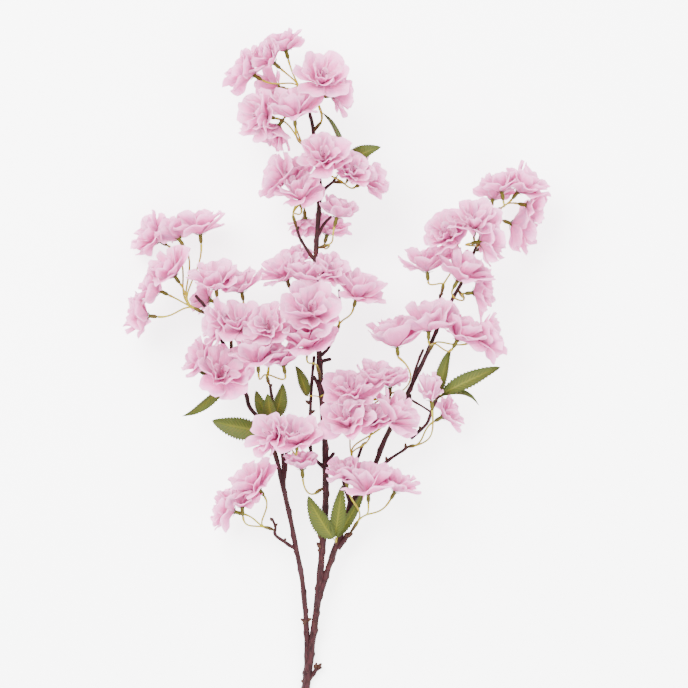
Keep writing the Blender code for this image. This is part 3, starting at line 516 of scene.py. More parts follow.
# spur's root and tip, then a row for each bloom: x, y and z of its seat, its compass turn and its lean in
# degrees, its radius and, where it holds to another head's petals, that head's name
heads = {
    "top_tip": ((-23, 596, 57), (-30, 611, 59), [(-76, 624, 62, 150, 0, 24), (-56, 636, 68, 140, 15, 21),
        (-44, 649, 60, 105, 0, 20), (-52, 613, 42, 170, -25, 20, "top_under")]),
    "top_right": ((-17, 566, 56), (-9, 577, 59), [(-10, 614, 78, 70, 45, 27), (2, 603, 75, 10, -20, 20)]),
    "top_left": ((-14, 545, 55), (-25, 553, 60), [(-35, 580, 84, 95, 15, 28), (-62, 582, 76, 170, 30, 25),
        (-51, 573, 71, 235, 5, 21)]),
    "top_side": ((3, 517, 57), (12, 517, 62), [(20, 523, 80, 60, 50, 20), (33, 517, 64, 30, 15, 22),
        (-6, 536, 84, 90, 55, 26)]),
    "top_mid": ((-33, 470, 48), (-37, 484, 55), [(-43, 518, 71, 155, 10, 24), (-27, 521, 62, 120, 25, 20),
        (-29, 499, 85, 95, 25, 24), (-25, 482, 30, 275, -15, 18, "top_back")]),
    "top_low": ((-13.5, 452, 53), (-2, 455, 58), [(7, 482, 76, 75, 5, 20),
        (-3, 466, 33, 75, 5, 21, "top_back")]),
    "left_tip": ((-119, 385, 48), (-136, 392, 53), [(-172, 460, 21.187, 150, 10, 25),
        (-152, 462, 34, 125, -15, 21), (-130, 466, 42, 95, 0, 25),
        (-155, 424, 58, 125, 15, 24, "left_side"), (-170, 409, 50, 155, 10, 21, "left_side"),
        (-182, 384, 47, 175, 5, 22, "left_side")]),
    "left_mid": ((-99, 344, 46), (-99, 364, 58), [(-113, 411, 76, 95, 20, 26), (-88, 408, 66, 100, 10, 21),
        (-121, 400, 30, 160, -15, 17, "left_back"), (-104, 376, 78, 180, 15, 22, "mid_left")]),
    "left_low": ((-84, 305, 43), (-95, 311, 49), [(-123, 338, 62, 150, 0, 21),
        (-110, 322, 62, 60, 55, 29)]),
    "mid_left": ((-60, 314, 49), (-63, 324, 56), [(-71, 336, 87, 92, 10, 27), (-46, 335, 78, 100, 10, 21),
        (-60, 370, 89, 100, 63, 23), (-88, 370, 80, 100, 40, 24)]),
    "low_mid": ((-44, 248, 40), (-40, 251, 52), [(-33, 257, 84, 90, 40, 26), (-52, 262, 80, 150, 40, 24)]),
    "low_hang": ((-5, 212, 32), (-15, 206, 38), [(-28, 231, 53, 95, 5, 17)]),
    "low_left": ((-55, 168, 26.5), (-66, 172, 31), [(-88, 193, 46, 95, 5, 19), (-96, 188, 41, 165, 5, 22),
        (-71, 211, 50, 125, 20, 25)]),
    "mid_top": ((-12, 378, 49), (-18, 384, 60), [(-43, 420, 60, 110, 15, 25), (-24, 416, 80, 85, 10, 22),
        (-33, 436, 39, 110, -20, 17), (-20, 384, 91, 80, 60, 30, "mid_left")]),
    "mid_right": ((6, 366, 53), (9, 375, 56), [(-3, 424, 76, 60, 40, 20, "mid_top"),
        (26, 401, 74, 75, 15, 26, "mid_top")]),
    "mid_front": ((-9, 318, 45), (-13, 334, 58), [(-22, 352, 89, 85, 30, 28, "mid_left")]),
    "right_foot": ((19, 164, 27.5), (28, 178, 33), [(38, 207, 68, 92, 15, 29), (65, 209, 60, 60, 0, 20),
        (16, 222, 60, 100, 20, 20)]),
    "right_low": ((26, 231, 36.5), (22, 243, 45), [(18, 275, 82, 100, 50, 27, "right_mid"),
        (42, 275, 77, 80, 30, 20, "right_mid"), (58, 279, 77, 40, 15, 27, "right_mid")]),
    "right_mid": ((78, 306, 42.5), (68, 308, 48), [(23, 300, 68, 95, 35, 28), (43, 315, 68, 80, 20, 22),
        (60, 313, 60, 90, 0, 21), (67, 353, 64, 95, 0, 30, "right_top")]),
    "right_leafy": ((76, 252, 36), (85, 254, 36), [(101, 300, 68, 95, 0, 27, "right_bud"),
        (113, 283, 30, 30, 5, 19)]),
    "right_top": ((97, 347, 45.5), (103, 356, 56), [(98, 369, 74, 90, 10, 30), (127, 360, 71, 60, 10, 25),
        (147, 360, 57, 20, 10, 26)]),
    "right_twig": ((110, 404, 53), (113, 416, 57), [(97, 428, 62, 95, 0, 26, "right_wing"),
        (120, 462, 74, 130, 50, 24, "right_crown")]),
    "right_stem": ((128, 411, 49), (134, 402, 55), [(127, 419, 79, 60, 10, 29, "right_wing"),
        (143, 407, 67, 5, 10, 20, "right_wing")]),
    "right_crown": ((145, 449, 48.5), (150, 452, 60), [(143, 470, 84, 90, 35, 25),
        (148, 457, 88, 10, -15, 24)]),
    "right_tip": ((166, 487, 48), (171, 492, 48), [(171, 508, 66, 100, 0, 19), (188, 508, 52, 50, 10, 25),
        (197, 495, 44, 350, 0, 19), (163, 501, 43, 80, -10, 20), (182, 477, 27.84, 340, -10, 26)]),
}
# root of the group, then each blade's base, tip, width, the way its face looks and its arch
leaves = {
    "top": ((3, 518, 57), [
        ((14, 534, 62), (-6, 586, 70), 18, (0.85, 0.35, 0.25), 3),
        ((16, 535, 61), (50, 552, 72), 19, (-0.2, 0.3, 0.9), 4)]),
    "left": ((-94, 333, 45), [
        ((-104, 318, 40), (-148, 283, 28), 13, (0.3, -0.5, 0.8), 5),
        ((-106, 324, 40), (-135, 332, 34), 14, (0, 0, 1), 2),
        ((-106, 335, 42), (-123, 352, 46), 13, (0.1, 0.1, 1), 1)]),
    "mid": ((-66, 274, 40), [
        ((-68, 269, 46), (-118, 279, 44), 25, (0.1, -0.25, 0.95), 3),
        ((-61, 281, 48), (-74, 309, 58), 15, (-0.3, 0, 0.95), 2),
        ((-58, 281, 50), (-62, 306, 66), 15, (-0.1, -0.4, 0.9), 2),
        ((-55, 282, 48), (-47, 316, 54), 17, (0.3, 0, 0.95), 2)]),
    "centre": ((-8, 300, 43), [
        ((-23, 304, 50), (-34, 334, 52), 12, (0.3, 0.1, 0.9), 2),
        ((-1, 307, 50), (6, 328, 54), 9, (0.3, -0.2, 0.9), 1)]),
    "right": ((107, 301, 45), [
        ((109, 306, 50), (120, 351, 54), 14, (-0.4, 0, 0.9), 2),
        ((112, 306, 50), (170, 333, 50), 18, (0.1, 0.35, 0.9), 3),
        ((110, 303, 48), (149, 296, 46), 13, (-0.1, 0.9, 0.45), 7)]),
    "foot": ((7, 153, 24), [
        ((3, 161, 36), (-22, 203, 44), 22, (-0.3, -0.1, 0.95), 3),
        ((5, 163, 37), (12, 214, 50), 17, (0, -0.3, 0.95), 3),
        ((7, 162, 33), (35, 211, 36), 11, (0.3, -0.2, 0.9), 2)]),
}


def eachBloom(head):
    # for each bloom of a head the node of its petals, its seat, compass turn, lean and radius
    for x, y, z, turn, lean, radius, *other in heads[head][2]:
        yield other[0] if other else head, np.array([x, y, z], float), turn, lean, radius


def smoothRows(route, step):
    # a Hermite curve through the rows x, y, z, radius, sloping at each by half the way between its neighbours
    route = np.array(route, float)
    before = np.vstack([2 * route[0] - route[1], route[:-1]])
    after = np.vstack([route[1:], 2 * route[-1] - route[-2]])
    slopes = (after - before) / 2
    rows = [route[:1]]
    for start, end, out, into in zip(route, route[1:], slopes, slopes[1:]):
        count = max(1, round(np.linalg.norm((end - start)[:3]) / step))
        t = np.linspace(0, 1, count + 1)[1:, None]
        rows.append((2 * t**3 - 3 * t**2 + 1) * start + (t**3 - 2 * t**2 + t) * out
                    + (3 * t**2 - 2 * t**3) * end + (t**3 - t**2) * into)
    return np.vstack(rows)


# wood

wood = {
    "stemSides": 16, "twigSides": 10, "ringStep": 2.0, "stemFull": 1.26, "twigFull": 1.35, "tableGap": 0.05,
    "firstKnob": 8, "knobEvery": 21.0, "knobStray": 5, "knobSize": 0.36, "knobLength": 2.3, "ridge": 0.042,
    "ridgeDrift": 0.09, "swell": 0.05, "swellWave": 0.21, "grain": 0.03, "seed": 7, "creaseAngle": 60,
    "tipAlong": (0.5, 0.85), "tipRadii": (0.8, 0.42), "plateShare": 0.94, "plateOut": 0.3, "plateIn": 0.5,
    "budSides": 10, "budFull": 1.45, "scaleStep": 0.07, "budBend": 0.06,
    "budHeight": (0, 0.12, 0.24, 0.33, 0.36, 0.50, 0.60, 0.64, 0.78, 0.90, 0.97, 1.0),
    "budProfile": (0.70, 0.86, 0.98, 1.06, 0.92, 1.00, 0.96, 0.80, 0.72, 0.46, 0.24, 0.08)}


def addPlate(shapes, middle, ring, ahead, skin, tone):
    # a closed thin plate over the end of a tube, marked with its own x and y from -1 to 1
    sides = len(ring)
    ring = middle + wood["plateShare"] * (ring - middle)
    under, over = -wood["plateOut"] * ahead, wood["plateIn"] * ahead
    points = np.vstack([ring + under, ring + over, middle + under, middle + over])
    turns = ringTurns(sides)
    marks = np.stack([np.cos(turns), np.sin(turns)], axis=1)
    j = np.arange(sides)
    after, centre = np.roll(j, -1), np.full(sides, 2 * sides)
    faces = [np.stack([centre, after, j], axis=1), np.stack([centre + 1, j + sides, after + sides], axis=1),
             np.stack([j, after, after + sides, j + sides], axis=1)]
    shapes.add(points, faces, np.vstack([marks, marks, np.zeros((2, 2))]), (tone, 0), skin)


def branchTube(shapes, route, sides, draw, full, cut=False):
    # radius * (1 + knobs + ridges + swell + grain). A knob is a bell curve every two centimetres or so, and
    # the ridges are waves of the turn that drift along the branch
    rows = smoothRows(route, wood["ringStep"])
    path, radii = rows[:, :3], rows[:, 3] * full
    tip = unit(path[-1] - path[-2]) * radii[-1]
    path = np.vstack([path, path[-1] + tip * column(wood["tipAlong"])])
    radii = np.append(radii, radii[-1] * np.array(wood["tipRadii"]))
    length = alongPath(path)
    turn = ringTurns(sides)
    spots = np.arange(wood["firstKnob"], length[-1], wood["knobEvery"])
    spots = spots + draw.uniform(-wood["knobStray"], wood["knobStray"], len(spots))
    facing = draw.uniform(0, fullTurn, len(spots))
    bells = np.exp(-((length[:, None] - spots) / wood["knobLength"]) ** 2)
    oneSided = 0.45 + 0.55 * np.cos(turn - facing[:, None])
    knobs = (bells[:, :, None] * oneSided).sum(axis=1) * wood["knobSize"]
    drift = length[:, None] * wood["ridgeDrift"]
    phase = draw.uniform(0, fullTurn, 3)
    ridges = np.sin(3 * turn + drift + phase[0]) + 0.6 * np.sin(5 * turn - 1.7 * drift + phase[1])
    swell = wood["swell"] * np.sin(length * wood["swellWave"] + phase[2])[:, None]
    grain = draw.normal(0, wood["grain"], (len(path), sides))
    radii = radii[:, None] * (1 + knobs + ridges * wood["ridge"] + swell + grain)
    tone = draw.uniform()
    middle, ring, ahead = sweep(shapes, path, radii, sides, 0, tone, wood["tableGap"])
    if cut:
        addPlate(shapes, middle, ring, ahead, 1, tone)


def scaledBud(shapes, root, way, length, radius, draw):
    # a spindle under overlapping scales: its radius steps in a little at the rim of each scale
    height, profile = column(wood["budHeight"]), column(wood["budProfile"])
    waves = np.sin(2 * ringTurns(wood["budSides"]) + 7 * height + draw.uniform(0, 6))
    radii = wood["budFull"] * radius * profile * (1 + wood["scaleStep"] * waves)
    bend = sideAxes(unit(way))[0] * draw.uniform(-wood["budBend"], wood["budBend"]) * length
    path = np.array(root, float) + unit(way) * length * height + bend * height**2
    sweep(shapes, path, radii, wood["budSides"], 2, draw.uniform())


def makeWood():
    draw = np.random.default_rng(wood["seed"])
    shapes = Shapes()
    for name, route in stems.items():
        branchTube(shapes, route, wood["stemSides"], draw, wood["stemFull"], name == "foot")
    for route in twigs:
        branchTube(shapes, route, wood["twigSides"], draw, wood["twigFull"])
    for bud in buds:
        scaledBud(shapes, *bud, draw)
    woodSkins = [skins["bark"], skins["cut"], skins["bud"]]
    shapes.make("branchWood", woodSkins, "bark", ["wood"], wood["creaseAngle"])
    print("wood made")


makeWood()


# blooms

bloomShape = {
    "petals": 5, "heartPetals": 3, "stamens": 6, "thickness": 0.28, "foot": 0.045, "tableGap": 0.3,
    "fray": 0.005, "crumple": 0.028, "crease": 0.02, "halfShut": {"right_bud": 0.44}, "seed": 41,
    "threadRadii": (0.16, 0.14, 0.13, 0.12, 0.10), "threadSides": 3, "antherSides": 5,
    "antherAlong": (-0.5, 0.0, 0.55, 0.8), "antherRadii": (0.12, 0.42, 0.34, 0.08), "toneStray": 0.4,
    "outer": {"cells": (9, 14), "ahead": 0.0, "spread": 0.80, "steep": 1.30, "rounding": 0.50,
              "lap": 0.060, "pleat": 0.080, "roll": (-0.02, 0.28), "tone": 0.0},
    "middle": {"cells": (8, 12), "ahead": 0.5, "spread": 0.76, "steep": 1.30, "rounding": 0.48,
               "lap": 0.055, "pleat": 0.085, "roll": (-0.04, 0.18), "tone": 0.15},
    "inner": {"cells": (7, 10), "ahead": 0.1, "spread": 0.78, "steep": 1.20, "rounding": 0.46,
              "lap": 0.050, "pleat": 0.075, "roll": (-0.04, 0.12), "tone": 0.40},
    "heart": {"cells": (5, 6), "ahead": 0.6, "spread": 0.95, "steep": 1.00, "rounding": 0.45,
              "lap": 0.040, "pleat": 0.040, "roll": (-0.02, 0.05), "tone": 0.60}}


def whorl(draw, start, reach, rise, form, thickness):
    # petals side by side round the axis, in shares of the bloom's radius. At s along and t across petal k
    # turn = start + k * step + width(s) * t, radius = foot + (outline(t) - foot) * s and
    # height = rise * (radius / reach)^steep, where rise passes from petal to petal as a cosine. The outline
    # is reach * (1 - rounding * (1 - sqrt(1 - t^2))) with a shallow notch and a wavy rim. Each point then
    # moves along the petal's own normal: a lap over the neighbour, a cupping as t^2, pleats that grow as
    # s^1.3, crumples, a crease along the middle and a rim that rolls back
    count, foot = len(reach), bloomShape["foot"]
    step = fullTurn / count
    rows, columns = form["cells"]

    def each(low, high, shape=()):
        return draw.uniform(low, high, (*shape, count))[..., None, None]

    k = np.arange(count)[:, None, None]
    s = np.linspace(0, 1, rows + 1)[None, :, None]
    t = np.sin(np.linspace(-0.5, 0.5, columns + 1) * math.pi)[None, None, :]
    skew = each(-0.3, 0.3)
    waves, size = each(0, fullTurn, (7,)), each(0.5, 1.3, (5,))
    bell = np.exp(-((t - skew) / 0.22) ** 2)
    wavy = 0.018 * np.sin(5.1 * t + waves[5]) + 0.010 * np.sin(11.3 * t + waves[6]) * (1 - t**2)
    fray = draw.normal(0, bloomShape["fray"], (count, 1, columns + 1)) * (1 - t**2)
    lobe = 1 - form["rounding"] * (1 - np.sqrt(1 - 0.97 * t**2))
    outline = reach[:, None, None] * (lobe - each(-0.02, 0.08) * bell + wavy + fray)
    radius = foot + (outline - foot) * s
    swell = 0.40 + 0.60 * np.sin(0.5 * math.pi * np.minimum(s / 0.62, 1))
    width = form["spread"] * each(0.92, 1.12) * swell
    width = width * (1 - 0.12 * smoothStep(0.6, 1.0, s))
    turn = start + k * step + each(-0.10, 0.10) + width * t + 0.15 * skew * s
    x = (turn - start) / step
    low = np.floor(x).astype(int)
    w = 0.5 - 0.5 * np.cos(math.pi * (x - low))
    here = rise[low % count] * (1 - w) + rise[(low + 1) % count] * w
    height = here * np.maximum(radius / reach[:, None, None], 1e-3) ** form["steep"]
    inward, upward = -np.gradient(height, axis=1), np.gradient(radius, axis=1)
    slope = np.hypot(inward, upward)
    pleats = (size[0] * np.sin(2.3 * t + waves[0]) + 0.8 * size[1] * np.sin(5.2 * t + waves[1] + 0.8 * s)
              + 0.6 * size[2] * np.sin(9.1 * t + waves[2] - 1.1 * s) * s)
    crumple = size[3] * np.sin(3.1 * t + 7.3 * s + waves[3]) + size[4] * np.sin(4.3 * t - 6.1 * s + waves[4])
    shift = form["lap"] * each(0.5, 2.1) * t * s + each(-0.05, 0.10) * (t**2 - 0.3) * s
    shift = shift + form["pleat"] * s**1.3 * pleats + bloomShape["crumple"] * s * crumple
    shift = shift - bloomShape["crease"] * s * np.exp(-((t - 0.5 * skew) / 0.14) ** 2)
    shift = shift - each(*form["roll"]) * smoothStep(0.42, 1.0, s) ** 1.4 * (0.85 + 0.3 * t * np.sign(skew))
    radius = radius + shift * inward / slope
    height = height + shift * upward / slope
    front = np.stack([radius * np.cos(turn), radius * np.sin(turn), height], axis=-1)
    return sheetPoints(front, thickness)


def stamenPaths(draw, count):
    # threads that rise from the heart and bow outward: radius r0 + (r1 - r0) w^1.3, height h w, along w
    w = np.linspace(0, 1, 5)[None, :]
    turn = (ringTurns(count) + draw.uniform(-0.3, 0.3, count))[:, None]
    reach = draw.uniform(0.06, 0.20, count)[:, None]
    top = draw.uniform(0.36, 0.62, count)[:, None]
    radius = 0.05 + (reach - 0.05) * w**1.3
    height = 0.08 + (top - 0.08) * w
    return np.stack([radius * np.cos(turn), radius * np.sin(turn), height], axis=-1)


def bloomWhorls(number, radius):
    # each whorl's petals with its form. The first draws are the same as the solid's: how far each petal
    # reaches and how high it rises
    draw = np.random.default_rng([bloomShape["seed"], number])
    petals, small = bloomShape["petals"], bloomShape["heartPetals"]
    step = fullTurn / petals
    roll = draw.uniform(0, step)
    reach = draw.uniform(0.92, 1.06, petals)
    rise = draw.uniform(0.42, 0.84, petals)
    draw.uniform(-0.08, 0.08, (petals, 2))  # the wave of the solid's rims, which has no use here
    innerReach = draw.uniform(0.56, 0.72, petals)
    innerRise = draw.uniform(1.00, 1.18, petals)
    extents = {"outer": (1.05 * reach, 1.04 * rise),
               "middle": (draw.uniform(0.72, 0.94, petals), 0.90 * innerRise),
               "inner": (0.85 * innerReach, innerRise * draw.uniform(0.86, 1.0, petals)),
               "heart": (draw.uniform(0.20, 0.36, small), draw.uniform(0.45, 0.80, small))}
    whorls = []
    for name, (far, high) in extents.items():
        form = bloomShape[name]
        start = roll + form["ahead"] * step
        whorls.append((whorl(draw, start, far, high, form, bloomShape["thickness"] / radius), form))
    return draw, whorls


def sheetMarks(rows, columns):
    # (across, along) from 0 to 1 and the side, 0 in front and 1 behind, for a closed sheet's points
    along, across = np.meshgrid(np.linspace(0, 1, rows + 1), np.linspace(0, 1, columns + 1), indexing="ij")
    marks = np.stack([across, along], axis=-1).reshape(-1, 2)
    return np.vstack([marks, marks]), np.repeat([0.0, 1.0], len(marks))


def addBloom(shapes, number, seat, turn, lean, radius, width):
    # width is the share of an open bloom's width that a half shut one has
    axis = bearing(turn, lean)
    across, up = sideAxes(axis)
    turned = np.stack([across * width, up * width, axis]) * radius
    draw, whorls = bloomWhorls(number, radius)
    for petals, form in whorls:
        marks, side = sheetMarks(*form["cells"])
        faces = sheetFaces(*form["cells"])
        for petal in petals:
            points = petal @ turned + seat
            keepAbove(points, bloomShape["tableGap"])
            tone = form["tone"] + draw.uniform(0, bloomShape["toneStray"])
            shapes.add(points, [faces], marks, withTone(tone, side), 0)
    for path in stamenPaths(draw, bloomShape["stamens"]):
        path = path @ turned + seat
        sweep(shapes, path, bloomShape["threadRadii"], bloomShape["threadSides"], 1, draw.uniform())
        bead = path[-1] + unit(path[-1] - path[-2]) * column(bloomShape["antherAlong"])
        sweep(shapes, bead, bloomShape["antherRadii"], bloomShape["antherSides"], 2, draw.uniform())


def makeBlooms():
    flocks, number = {}, 0
    for head in heads:
        for body, seat, turn, lean, radius in eachBloom(head):
            width = bloomShape["halfShut"].get(body, 1.0)
            addBloom(flocks.setdefault(body, Shapes()), number, seat, turn, lean, radius, width)
            number += 1
    bloomSkins = [skins["petal"], skins["thread"], skins["anther"]]
    for body, shapes in flocks.items():
        shapes.make("blooms_" + body, bloomSkins, "petals", ["petals_" + body])
    print("blooms made:", number)


makeBlooms()


# flower stalks

stalk = {
    "radius": 0.92, "sides": 6, "rings": 15, "inSpur": 1.5, "solidRadius": 0.7, "clearance": 0.6,
    "bowStep": 7.0, "bows": 4, "bowTurns": 8, "shares": (0.2, 0.4, 0.6, 0.8, 1.0), "seed": 19,
    "leaving": 0.30, "arriving": 0.38, "settling": 0.08, "calyxLength": 10.0, "calyxSides": 10,
    "calyxHeight": (-10.3, -9.4, -8.4, -7.2, -5.6, -3.8, -2.2, -0.9, -0.1),
    "calyxRadius": (0.60, 0.90, 1.40, 1.90, 2.10, 1.95, 1.90, 2.25, 2.50),
    "sepals": 5, "sepalCells": (5, 4), "sepalThickness": 0.3, "tableGap": 0.2, "spurSides": 10,
    "spurShare": (0, 0.10, 0.2, 0.30, 0.33, 0.45, 0.55, 0.58, 0.70, 0.80, 0.84, 0.94, 1.0, 1.03),
    "spurRadius": (1.25, 1.0, 1.15, 1.5, 1.35, 1.75, 1.95, 1.72, 1.95, 1.95, 1.65, 1.62, 1.35, 0.6)}


def searchTree(names):
    # a search tree over the solids named, in the branch's millimetres
    points, faces, start = [], [], 0
    for name in names:
        mesh = nodes[name].data
        co = np.empty(len(mesh.vertices) * 3, np.float32)
        mesh.vertices.foreach_get("co", co)
        corners = np.empty(len(mesh.loops), np.int32)
        mesh.loops.foreach_get("vertex_index", corners)
        points.append(co.reshape(-1, 3).astype(float) / millimetre + origin)
        faces.append(corners.reshape(-1, 3) + start)
        start += len(mesh.vertices)
    return BVHTree.FromPolygons(np.vstack(points).tolist(), np.vstack(faces).tolist())


def roomAlong(tree, path, distance):
    # the least room along a path, no more than the distance wanted, and below zero where it runs through
    room = distance
    for start, end in zip(path, path[1:]):
        start, end = Vector(start), Vector(end)
        step = end - start
        if tree.ray_cast(start, step.normalized(), step.length)[0] is not None:
            return -1.0
        for share in stalk["shares"]:
            found = tree.find_nearest(start + step * share, distance)[3]
            if found is not None:
                room = min(room, found)
    return room


def cubic(start, leave, arrive, end, t):
    return (1 - t) ** 3 * start + 3 * t * (1 - t) ** 2 * leave + 3 * t**2 * (1 - t) * arrive + t**3 * end


def stalkPath(start, way, seat, axis, trees):
    # a cubic curve from the spur's tip to the calyx's foot, bowed aside step by step until the way is clear
    foot = seat - axis * stalk["calyxLength"]
    length = np.linalg.norm(foot - start)
    across, up = sideAxes(unit(foot - start))
    t = np.linspace(0, 1, 4)[:-1, None]
    wanted = stalk["solidRadius"] + stalk["clearance"]
    best, bestRoom = None, -2.0
    for bow in range(stalk["bows"] + 1):
        for turn in range(stalk["bowTurns"] if bow else 1):
            angle = fullTurn * turn / stalk["bowTurns"]
            aside = stalk["bowStep"] * bow * (math.cos(angle) * across + math.sin(angle) * up)
            leave = start + way * stalk["leaving"] * length + aside
            arrive = foot - axis * stalk["arriving"] * length + aside
            path = cubic(start, leave, arrive, foot, t)
            reach = np.vstack([path[1:], foot, foot + axis * 0.5 * stalk["calyxLength"]])
            room = min(roomAlong(tree, reach, wanted) for tree in trees)
            if room > bestRoom + 0.05:
                best, bestRoom = (leave, arrive), room
        if bestRoom >= wanted:
            break
    leave, arrive = best
    leave, arrive = leave + way * stalk["settling"] * length, arrive - axis * stalk["settling"] * length
    return cubic(start, leave, arrive, foot, np.linspace(0, 1, stalk["rings"])[:, None])


def addCalyx(shapes, seat, axis, draw):
    # a tube that swells to its mouth, with five pointed sepals that lie back along the petals. A sepal
    # reaches out by 1.9 + long s, its half width is 1.15 (1.12 - s^1.6) and it rises by
    # -0.5 + 1.3 s + fall s^2 - 0.25 t^2
    height, wide = column(stalk["calyxHeight"]), column(stalk["calyxRadius"])
    ribs = 1 + 0.06 * np.cos(5 * ringTurns(stalk["calyxSides"]))[None, :]
    sweep(shapes, seat + axis * height, wide * ribs, stalk["calyxSides"], 2, draw.uniform())
    across, up = sideAxes(axis)
    rows, columns = stalk["sepalCells"]
    s = np.linspace(0, 1, rows + 1)[None, :, None]
    t = np.linspace(-1, 1, columns + 1)[None, None, :]
    k = np.arange(stalk["sepals"])[:, None, None]
    long = draw.uniform(3.4, 5.0, stalk["sepals"])[:, None, None]
    fall = draw.uniform(-0.9, 0.5, stalk["sepals"])[:, None, None]
    out = 1.9 + long * s
    aside = 1.15 * (1.12 - s**1.6) * t
    turns = fullTurn * (k + draw.uniform()) / stalk["sepals"]
    rise = -0.5 + 1.3 * s + fall * s**2 - 0.25 * t**2
    front = ((out * np.cos(turns) - aside * np.sin(turns))[..., None] * across
             + (out * np.sin(turns) + aside * np.cos(turns))[..., None] * up + rise[..., None] * axis)
    marks, _ = sheetMarks(rows, columns)
    for sepal in sheetPoints(front + seat, stalk["sepalThickness"]):
        keepAbove(sepal, stalk["tableGap"])
        shapes.add(sepal, [sheetFaces(rows, columns)], marks, withTone(0.5, marks[:, 1] * 0.05), 2)


def addSpur(shapes, root, tip, draw):
    # a spindle of old bud scales: a narrow foot, a belly, and a blunt tip that the stalks leave from
    share, wide = column(stalk["spurShare"]), column(stalk["spurRadius"])
    scales = 1 + 0.07 * np.sin(2 * ringTurns(stalk["spurSides"])[None, :] + 9 * share + draw.uniform(0, 6))
    bend = sideAxes(unit(tip - root))[0] * draw.uniform(-0.8, 0.8)
    path = root + (tip - root) * share + bend * np.sin(math.pi * np.clip(share, 0, 1))
    sweep(shapes, path, wide * scales, stalk["spurSides"], 0, draw.uniform())


def makeStalks():
    draw = np.random.default_rng(stalk["seed"])
    trees = (searchTree([name for name in nodes if name.startswith("petals_")]), searchTree(["wood"]))
    ends = np.linspace(0, 1, stalk["rings"])
    flare = 0.35 * np.exp(-(ends / 0.08) ** 2) + 0.45 * np.exp(-((1 - ends) / 0.10) ** 2)
    radii = stalk["radius"] * (1 + flare)
    stalkSkins = [skins["spur"], skins["pedicel"], skins["calyx"]]
    for head, (root, tip, _) in heads.items():
        shapes = Shapes()
        root, tip = np.array(root, float), np.array(tip, float)
        addSpur(shapes, root, tip, draw)
        way = unit(tip - root)
        for _, seat, turn, lean, _ in eachBloom(head):
            axis = bearing(turn, lean)
            path = stalkPath(tip - way * stalk["inSpur"], way, seat, axis, trees)
            sweep(shapes, path, radii, stalk["sides"], 1, draw.uniform())
            addCalyx(shapes, seat, axis, draw)
        shapes.make("stalks_of_" + head, stalkSkins, "stalks", ["stalks_" + head])
    print("stalks made")


makeStalks()


# leaves

leafShape = {
    "teeth": 17, "rowsATooth": 3, "columns": 18, "thickness": 0.42, "bulge": 0.74, "blunt": 0.76,
    "fold": 0.22, "toothDepth": 0.18, "toothLean": 0.012, "veinHeight": 0.42, "droop": 1.4, "ripple": 0.35,
    "tableGap": 0.2, "petioleFrom": 3.5, "petioleInto": 3.0, "petioleBend": 0.35, "petioleSides": 6,
    "petioleRadii": (0.75, 0.55, 0.3), "cushionSides": 8,
    "cushionAlong": (0, 1.5, 3.0, 4.5, 6.0, 6.6), "cushionRadii": (1.0, 1.3, 1.6, 1.5, 1.1, 0.4), "seed": 23}


def addLeaf(shapes, base, tip, width, face, arch, draw):
    # rib: base + along * L * t + out * arch * 4 t (1 - t), drooping at the tip. The blade at v from -1 to 1
    # stands aside by half = width / 2 * sin(pi t^bulge)^blunt and up by fold * 2 * half * |v|^1.25, with
    # raised cushions between its veins and a ripple at each side, and its rim steps in behind each tooth
    along = unit(tip - base)
    across = unit(np.cross(face, along))
    out = np.cross(along, across)
    length = np.linalg.norm(tip - base)
    rows, columns = leafShape["teeth"] * leafShape["rowsATooth"], leafShape["columns"]
    t = np.linspace(0.003, 0.996, rows + 1)[:, None]
    v = np.sin(np.linspace(-0.5, 0.5, columns + 1) * math.pi)[None, :]
    aside = np.abs(v)
    tooth = (np.arange(rows + 1) % leafShape["rowsATooth"])[:, None] / (leafShape["rowsATooth"] - 1)
    half = 0.5 * width * np.sin(math.pi * t ** leafShape["bulge"]) ** leafShape["blunt"]
    rim = 1 - leafShape["toothDepth"] * (1 - tooth) * smoothStep(0.80, 1.0, aside) * smoothStep(0.02, 0.08, t)
    shift = leafShape["toothLean"] * (1 - tooth) * smoothStep(0.85, 1.0, aside)
    phase = t * leafLook["veins"] - aside * leafLook["veinSlope"] * 2
    cushion = np.abs(np.sin(math.pi * phase)) ** 0.7 * (aside * (1 - aside**4)) ** 0.5
    wave = draw.uniform(0, fullTurn, 2)
    ripple = np.sin(9 * t + wave[0]) * (v > 0) + np.sin(8 * t + wave[1]) * (v < 0)
    lift = arch * 4 * t * (1 - t) - leafShape["droop"] * smoothStep(0.7, 1.0, t) ** 2
    lift = lift + leafShape["fold"] * 2 * half * aside**1.25
    lift = lift + leafShape["veinHeight"] * cushion * np.minimum(half / 3, 1)
    lift = lift + leafShape["ripple"] * aside**2 * ripple
    middle = base + (along * length) * (t + shift)[..., None]
    front = middle + across * (half * v * rim)[..., None] + out * lift[..., None]
    points = sheetPoints(front[:, ::-1], leafShape["thickness"])  # turned round, so that its face looks out
    keepAbove(points, leafShape["tableGap"])
    marks, side = sheetMarks(rows, columns)
    marks[:, 0] = np.tile(0.5 - 0.5 * v[0], 2 * (rows + 1))
    shapes.add(points, [sheetFaces(rows, columns)], marks, withTone(draw.uniform(), side), 0)


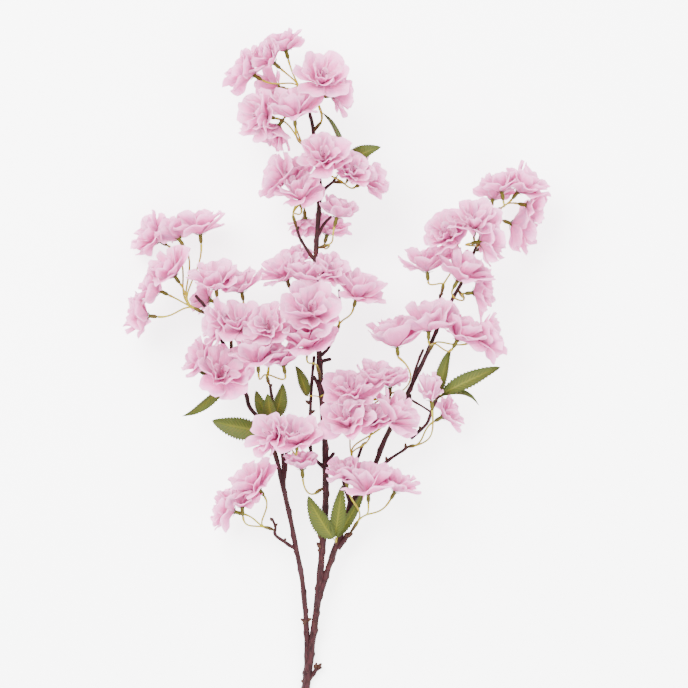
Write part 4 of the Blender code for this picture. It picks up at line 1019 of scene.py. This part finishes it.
def makeLeaves():
    draw = np.random.default_rng(leafShape["seed"])
    leafSkins = [skins["leaf"], skins["bud"], skins["pedicel"]]
    thick, thin, end = leafShape["petioleRadii"]
    petioleRadii = np.append(np.linspace(thick, thin, 8), end)
    for group, (root, blades) in leaves.items():
        shapes = Shapes()
        root = np.array(root, float)
        way = unit(np.mean([blade[0] for blade in blades], axis=0) - root)
        cushion = root + way * column(leafShape["cushionAlong"])
        sweep(shapes, cushion, leafShape["cushionRadii"], leafShape["cushionSides"], 1, draw.uniform())
        for base, tip, width, face, arch in blades:
            start = root + way * leafShape["petioleFrom"]
            base, tip = np.array(base, float), np.array(tip, float)
            t = np.linspace(0, 1, 8)[:, None]
            bend = start + way * leafShape["petioleBend"] * np.linalg.norm(base - start)
            inBlade = base + unit(tip - base) * leafShape["petioleInto"]
            petiole = np.vstack([(1 - t) ** 2 * start + 2 * t * (1 - t) * bend + t**2 * base, inBlade])
            sweep(shapes, petiole, petioleRadii, leafShape["petioleSides"], 2, draw.uniform())
            addLeaf(shapes, base, tip, width, face, arch, draw)
        shapes.make("foliage_" + group, leafSkins, "leaves", ["leaves_" + group])
    print("leaves made")


makeLeaves()


# floor, light and camera

# sizes in metres. A lamp has its place, size and energy
studio = {
    "floor": (0.78, 0.78, 0.78), "floorCloud": (0.76, 0.76, 0.76), "floorHalf": 6.0, "floorGlow": 2.9,
    "sky": 2.9,
    "lamps": {"key": ((-1.2, 1.3, 2.4), 2.0, 340.0), "fill": ((1.5, -0.9, 2.2), 2.6, 136.0)},
    "middle": (0.008, 0.0418), "width": 0.688, "bloomHeight": 0.05, "cameraHeight": 4.0, "sensor": 36}


def makeStage():
    half = studio["floorHalf"]
    mesh = bpy.data.meshes.new("tableTop")
    corners = [(-half, -half, 0), (half, -half, 0), (half, half, 0), (-half, half, 0)]
    mesh.from_pydata(corners, [], [(0, 1, 2, 3)])
    floor = addObject("tableTop", mesh)
    skin = Skin("tableTop")
    cloud = skin.noise(skin.spots(), 3.0, 2.0)
    colour = skin.blend(studio["floor"], studio["floorCloud"], cloud * 0.3)
    look = {"Base Color": colour, "Roughness": 0.9, "Specular IOR Level": 0.1, "Emission Color": (1, 1, 1, 1),
            "Emission Strength": studio["floorGlow"]}
    mesh.materials.append(skin.finish(skin.surface(look)))

    world = bpy.data.worlds.new("studio")
    world.use_nodes = True
    sky = world.node_tree.nodes["Background"]
    sky.inputs["Color"].default_value = (1, 1, 1, 1)
    sky.inputs["Strength"].default_value = studio["sky"]
    bpy.context.scene.world = world
    for name, (place, size, energy) in studio["lamps"].items():
        light = bpy.data.lights.new(name, "AREA")
        light.shape = "SQUARE"
        light.size = size
        light.energy = energy
        lamp = addObject(name, light)
        lamp.location = place
        lamp.rotation_euler = (-Vector(place)).to_track_quat("-Z", "Y").to_euler()

    camera = addObject("camera", bpy.data.cameras.new("camera"))
    camera.data.sensor_width = studio["sensor"]
    camera.data.lens = studio["sensor"] * (studio["cameraHeight"] - studio["bloomHeight"]) / studio["width"]
    camera.location = (*studio["middle"], studio["cameraHeight"])
    bpy.context.scene.camera = camera


makeStage()
print("stage made")

bpy.context.view_layer.update()
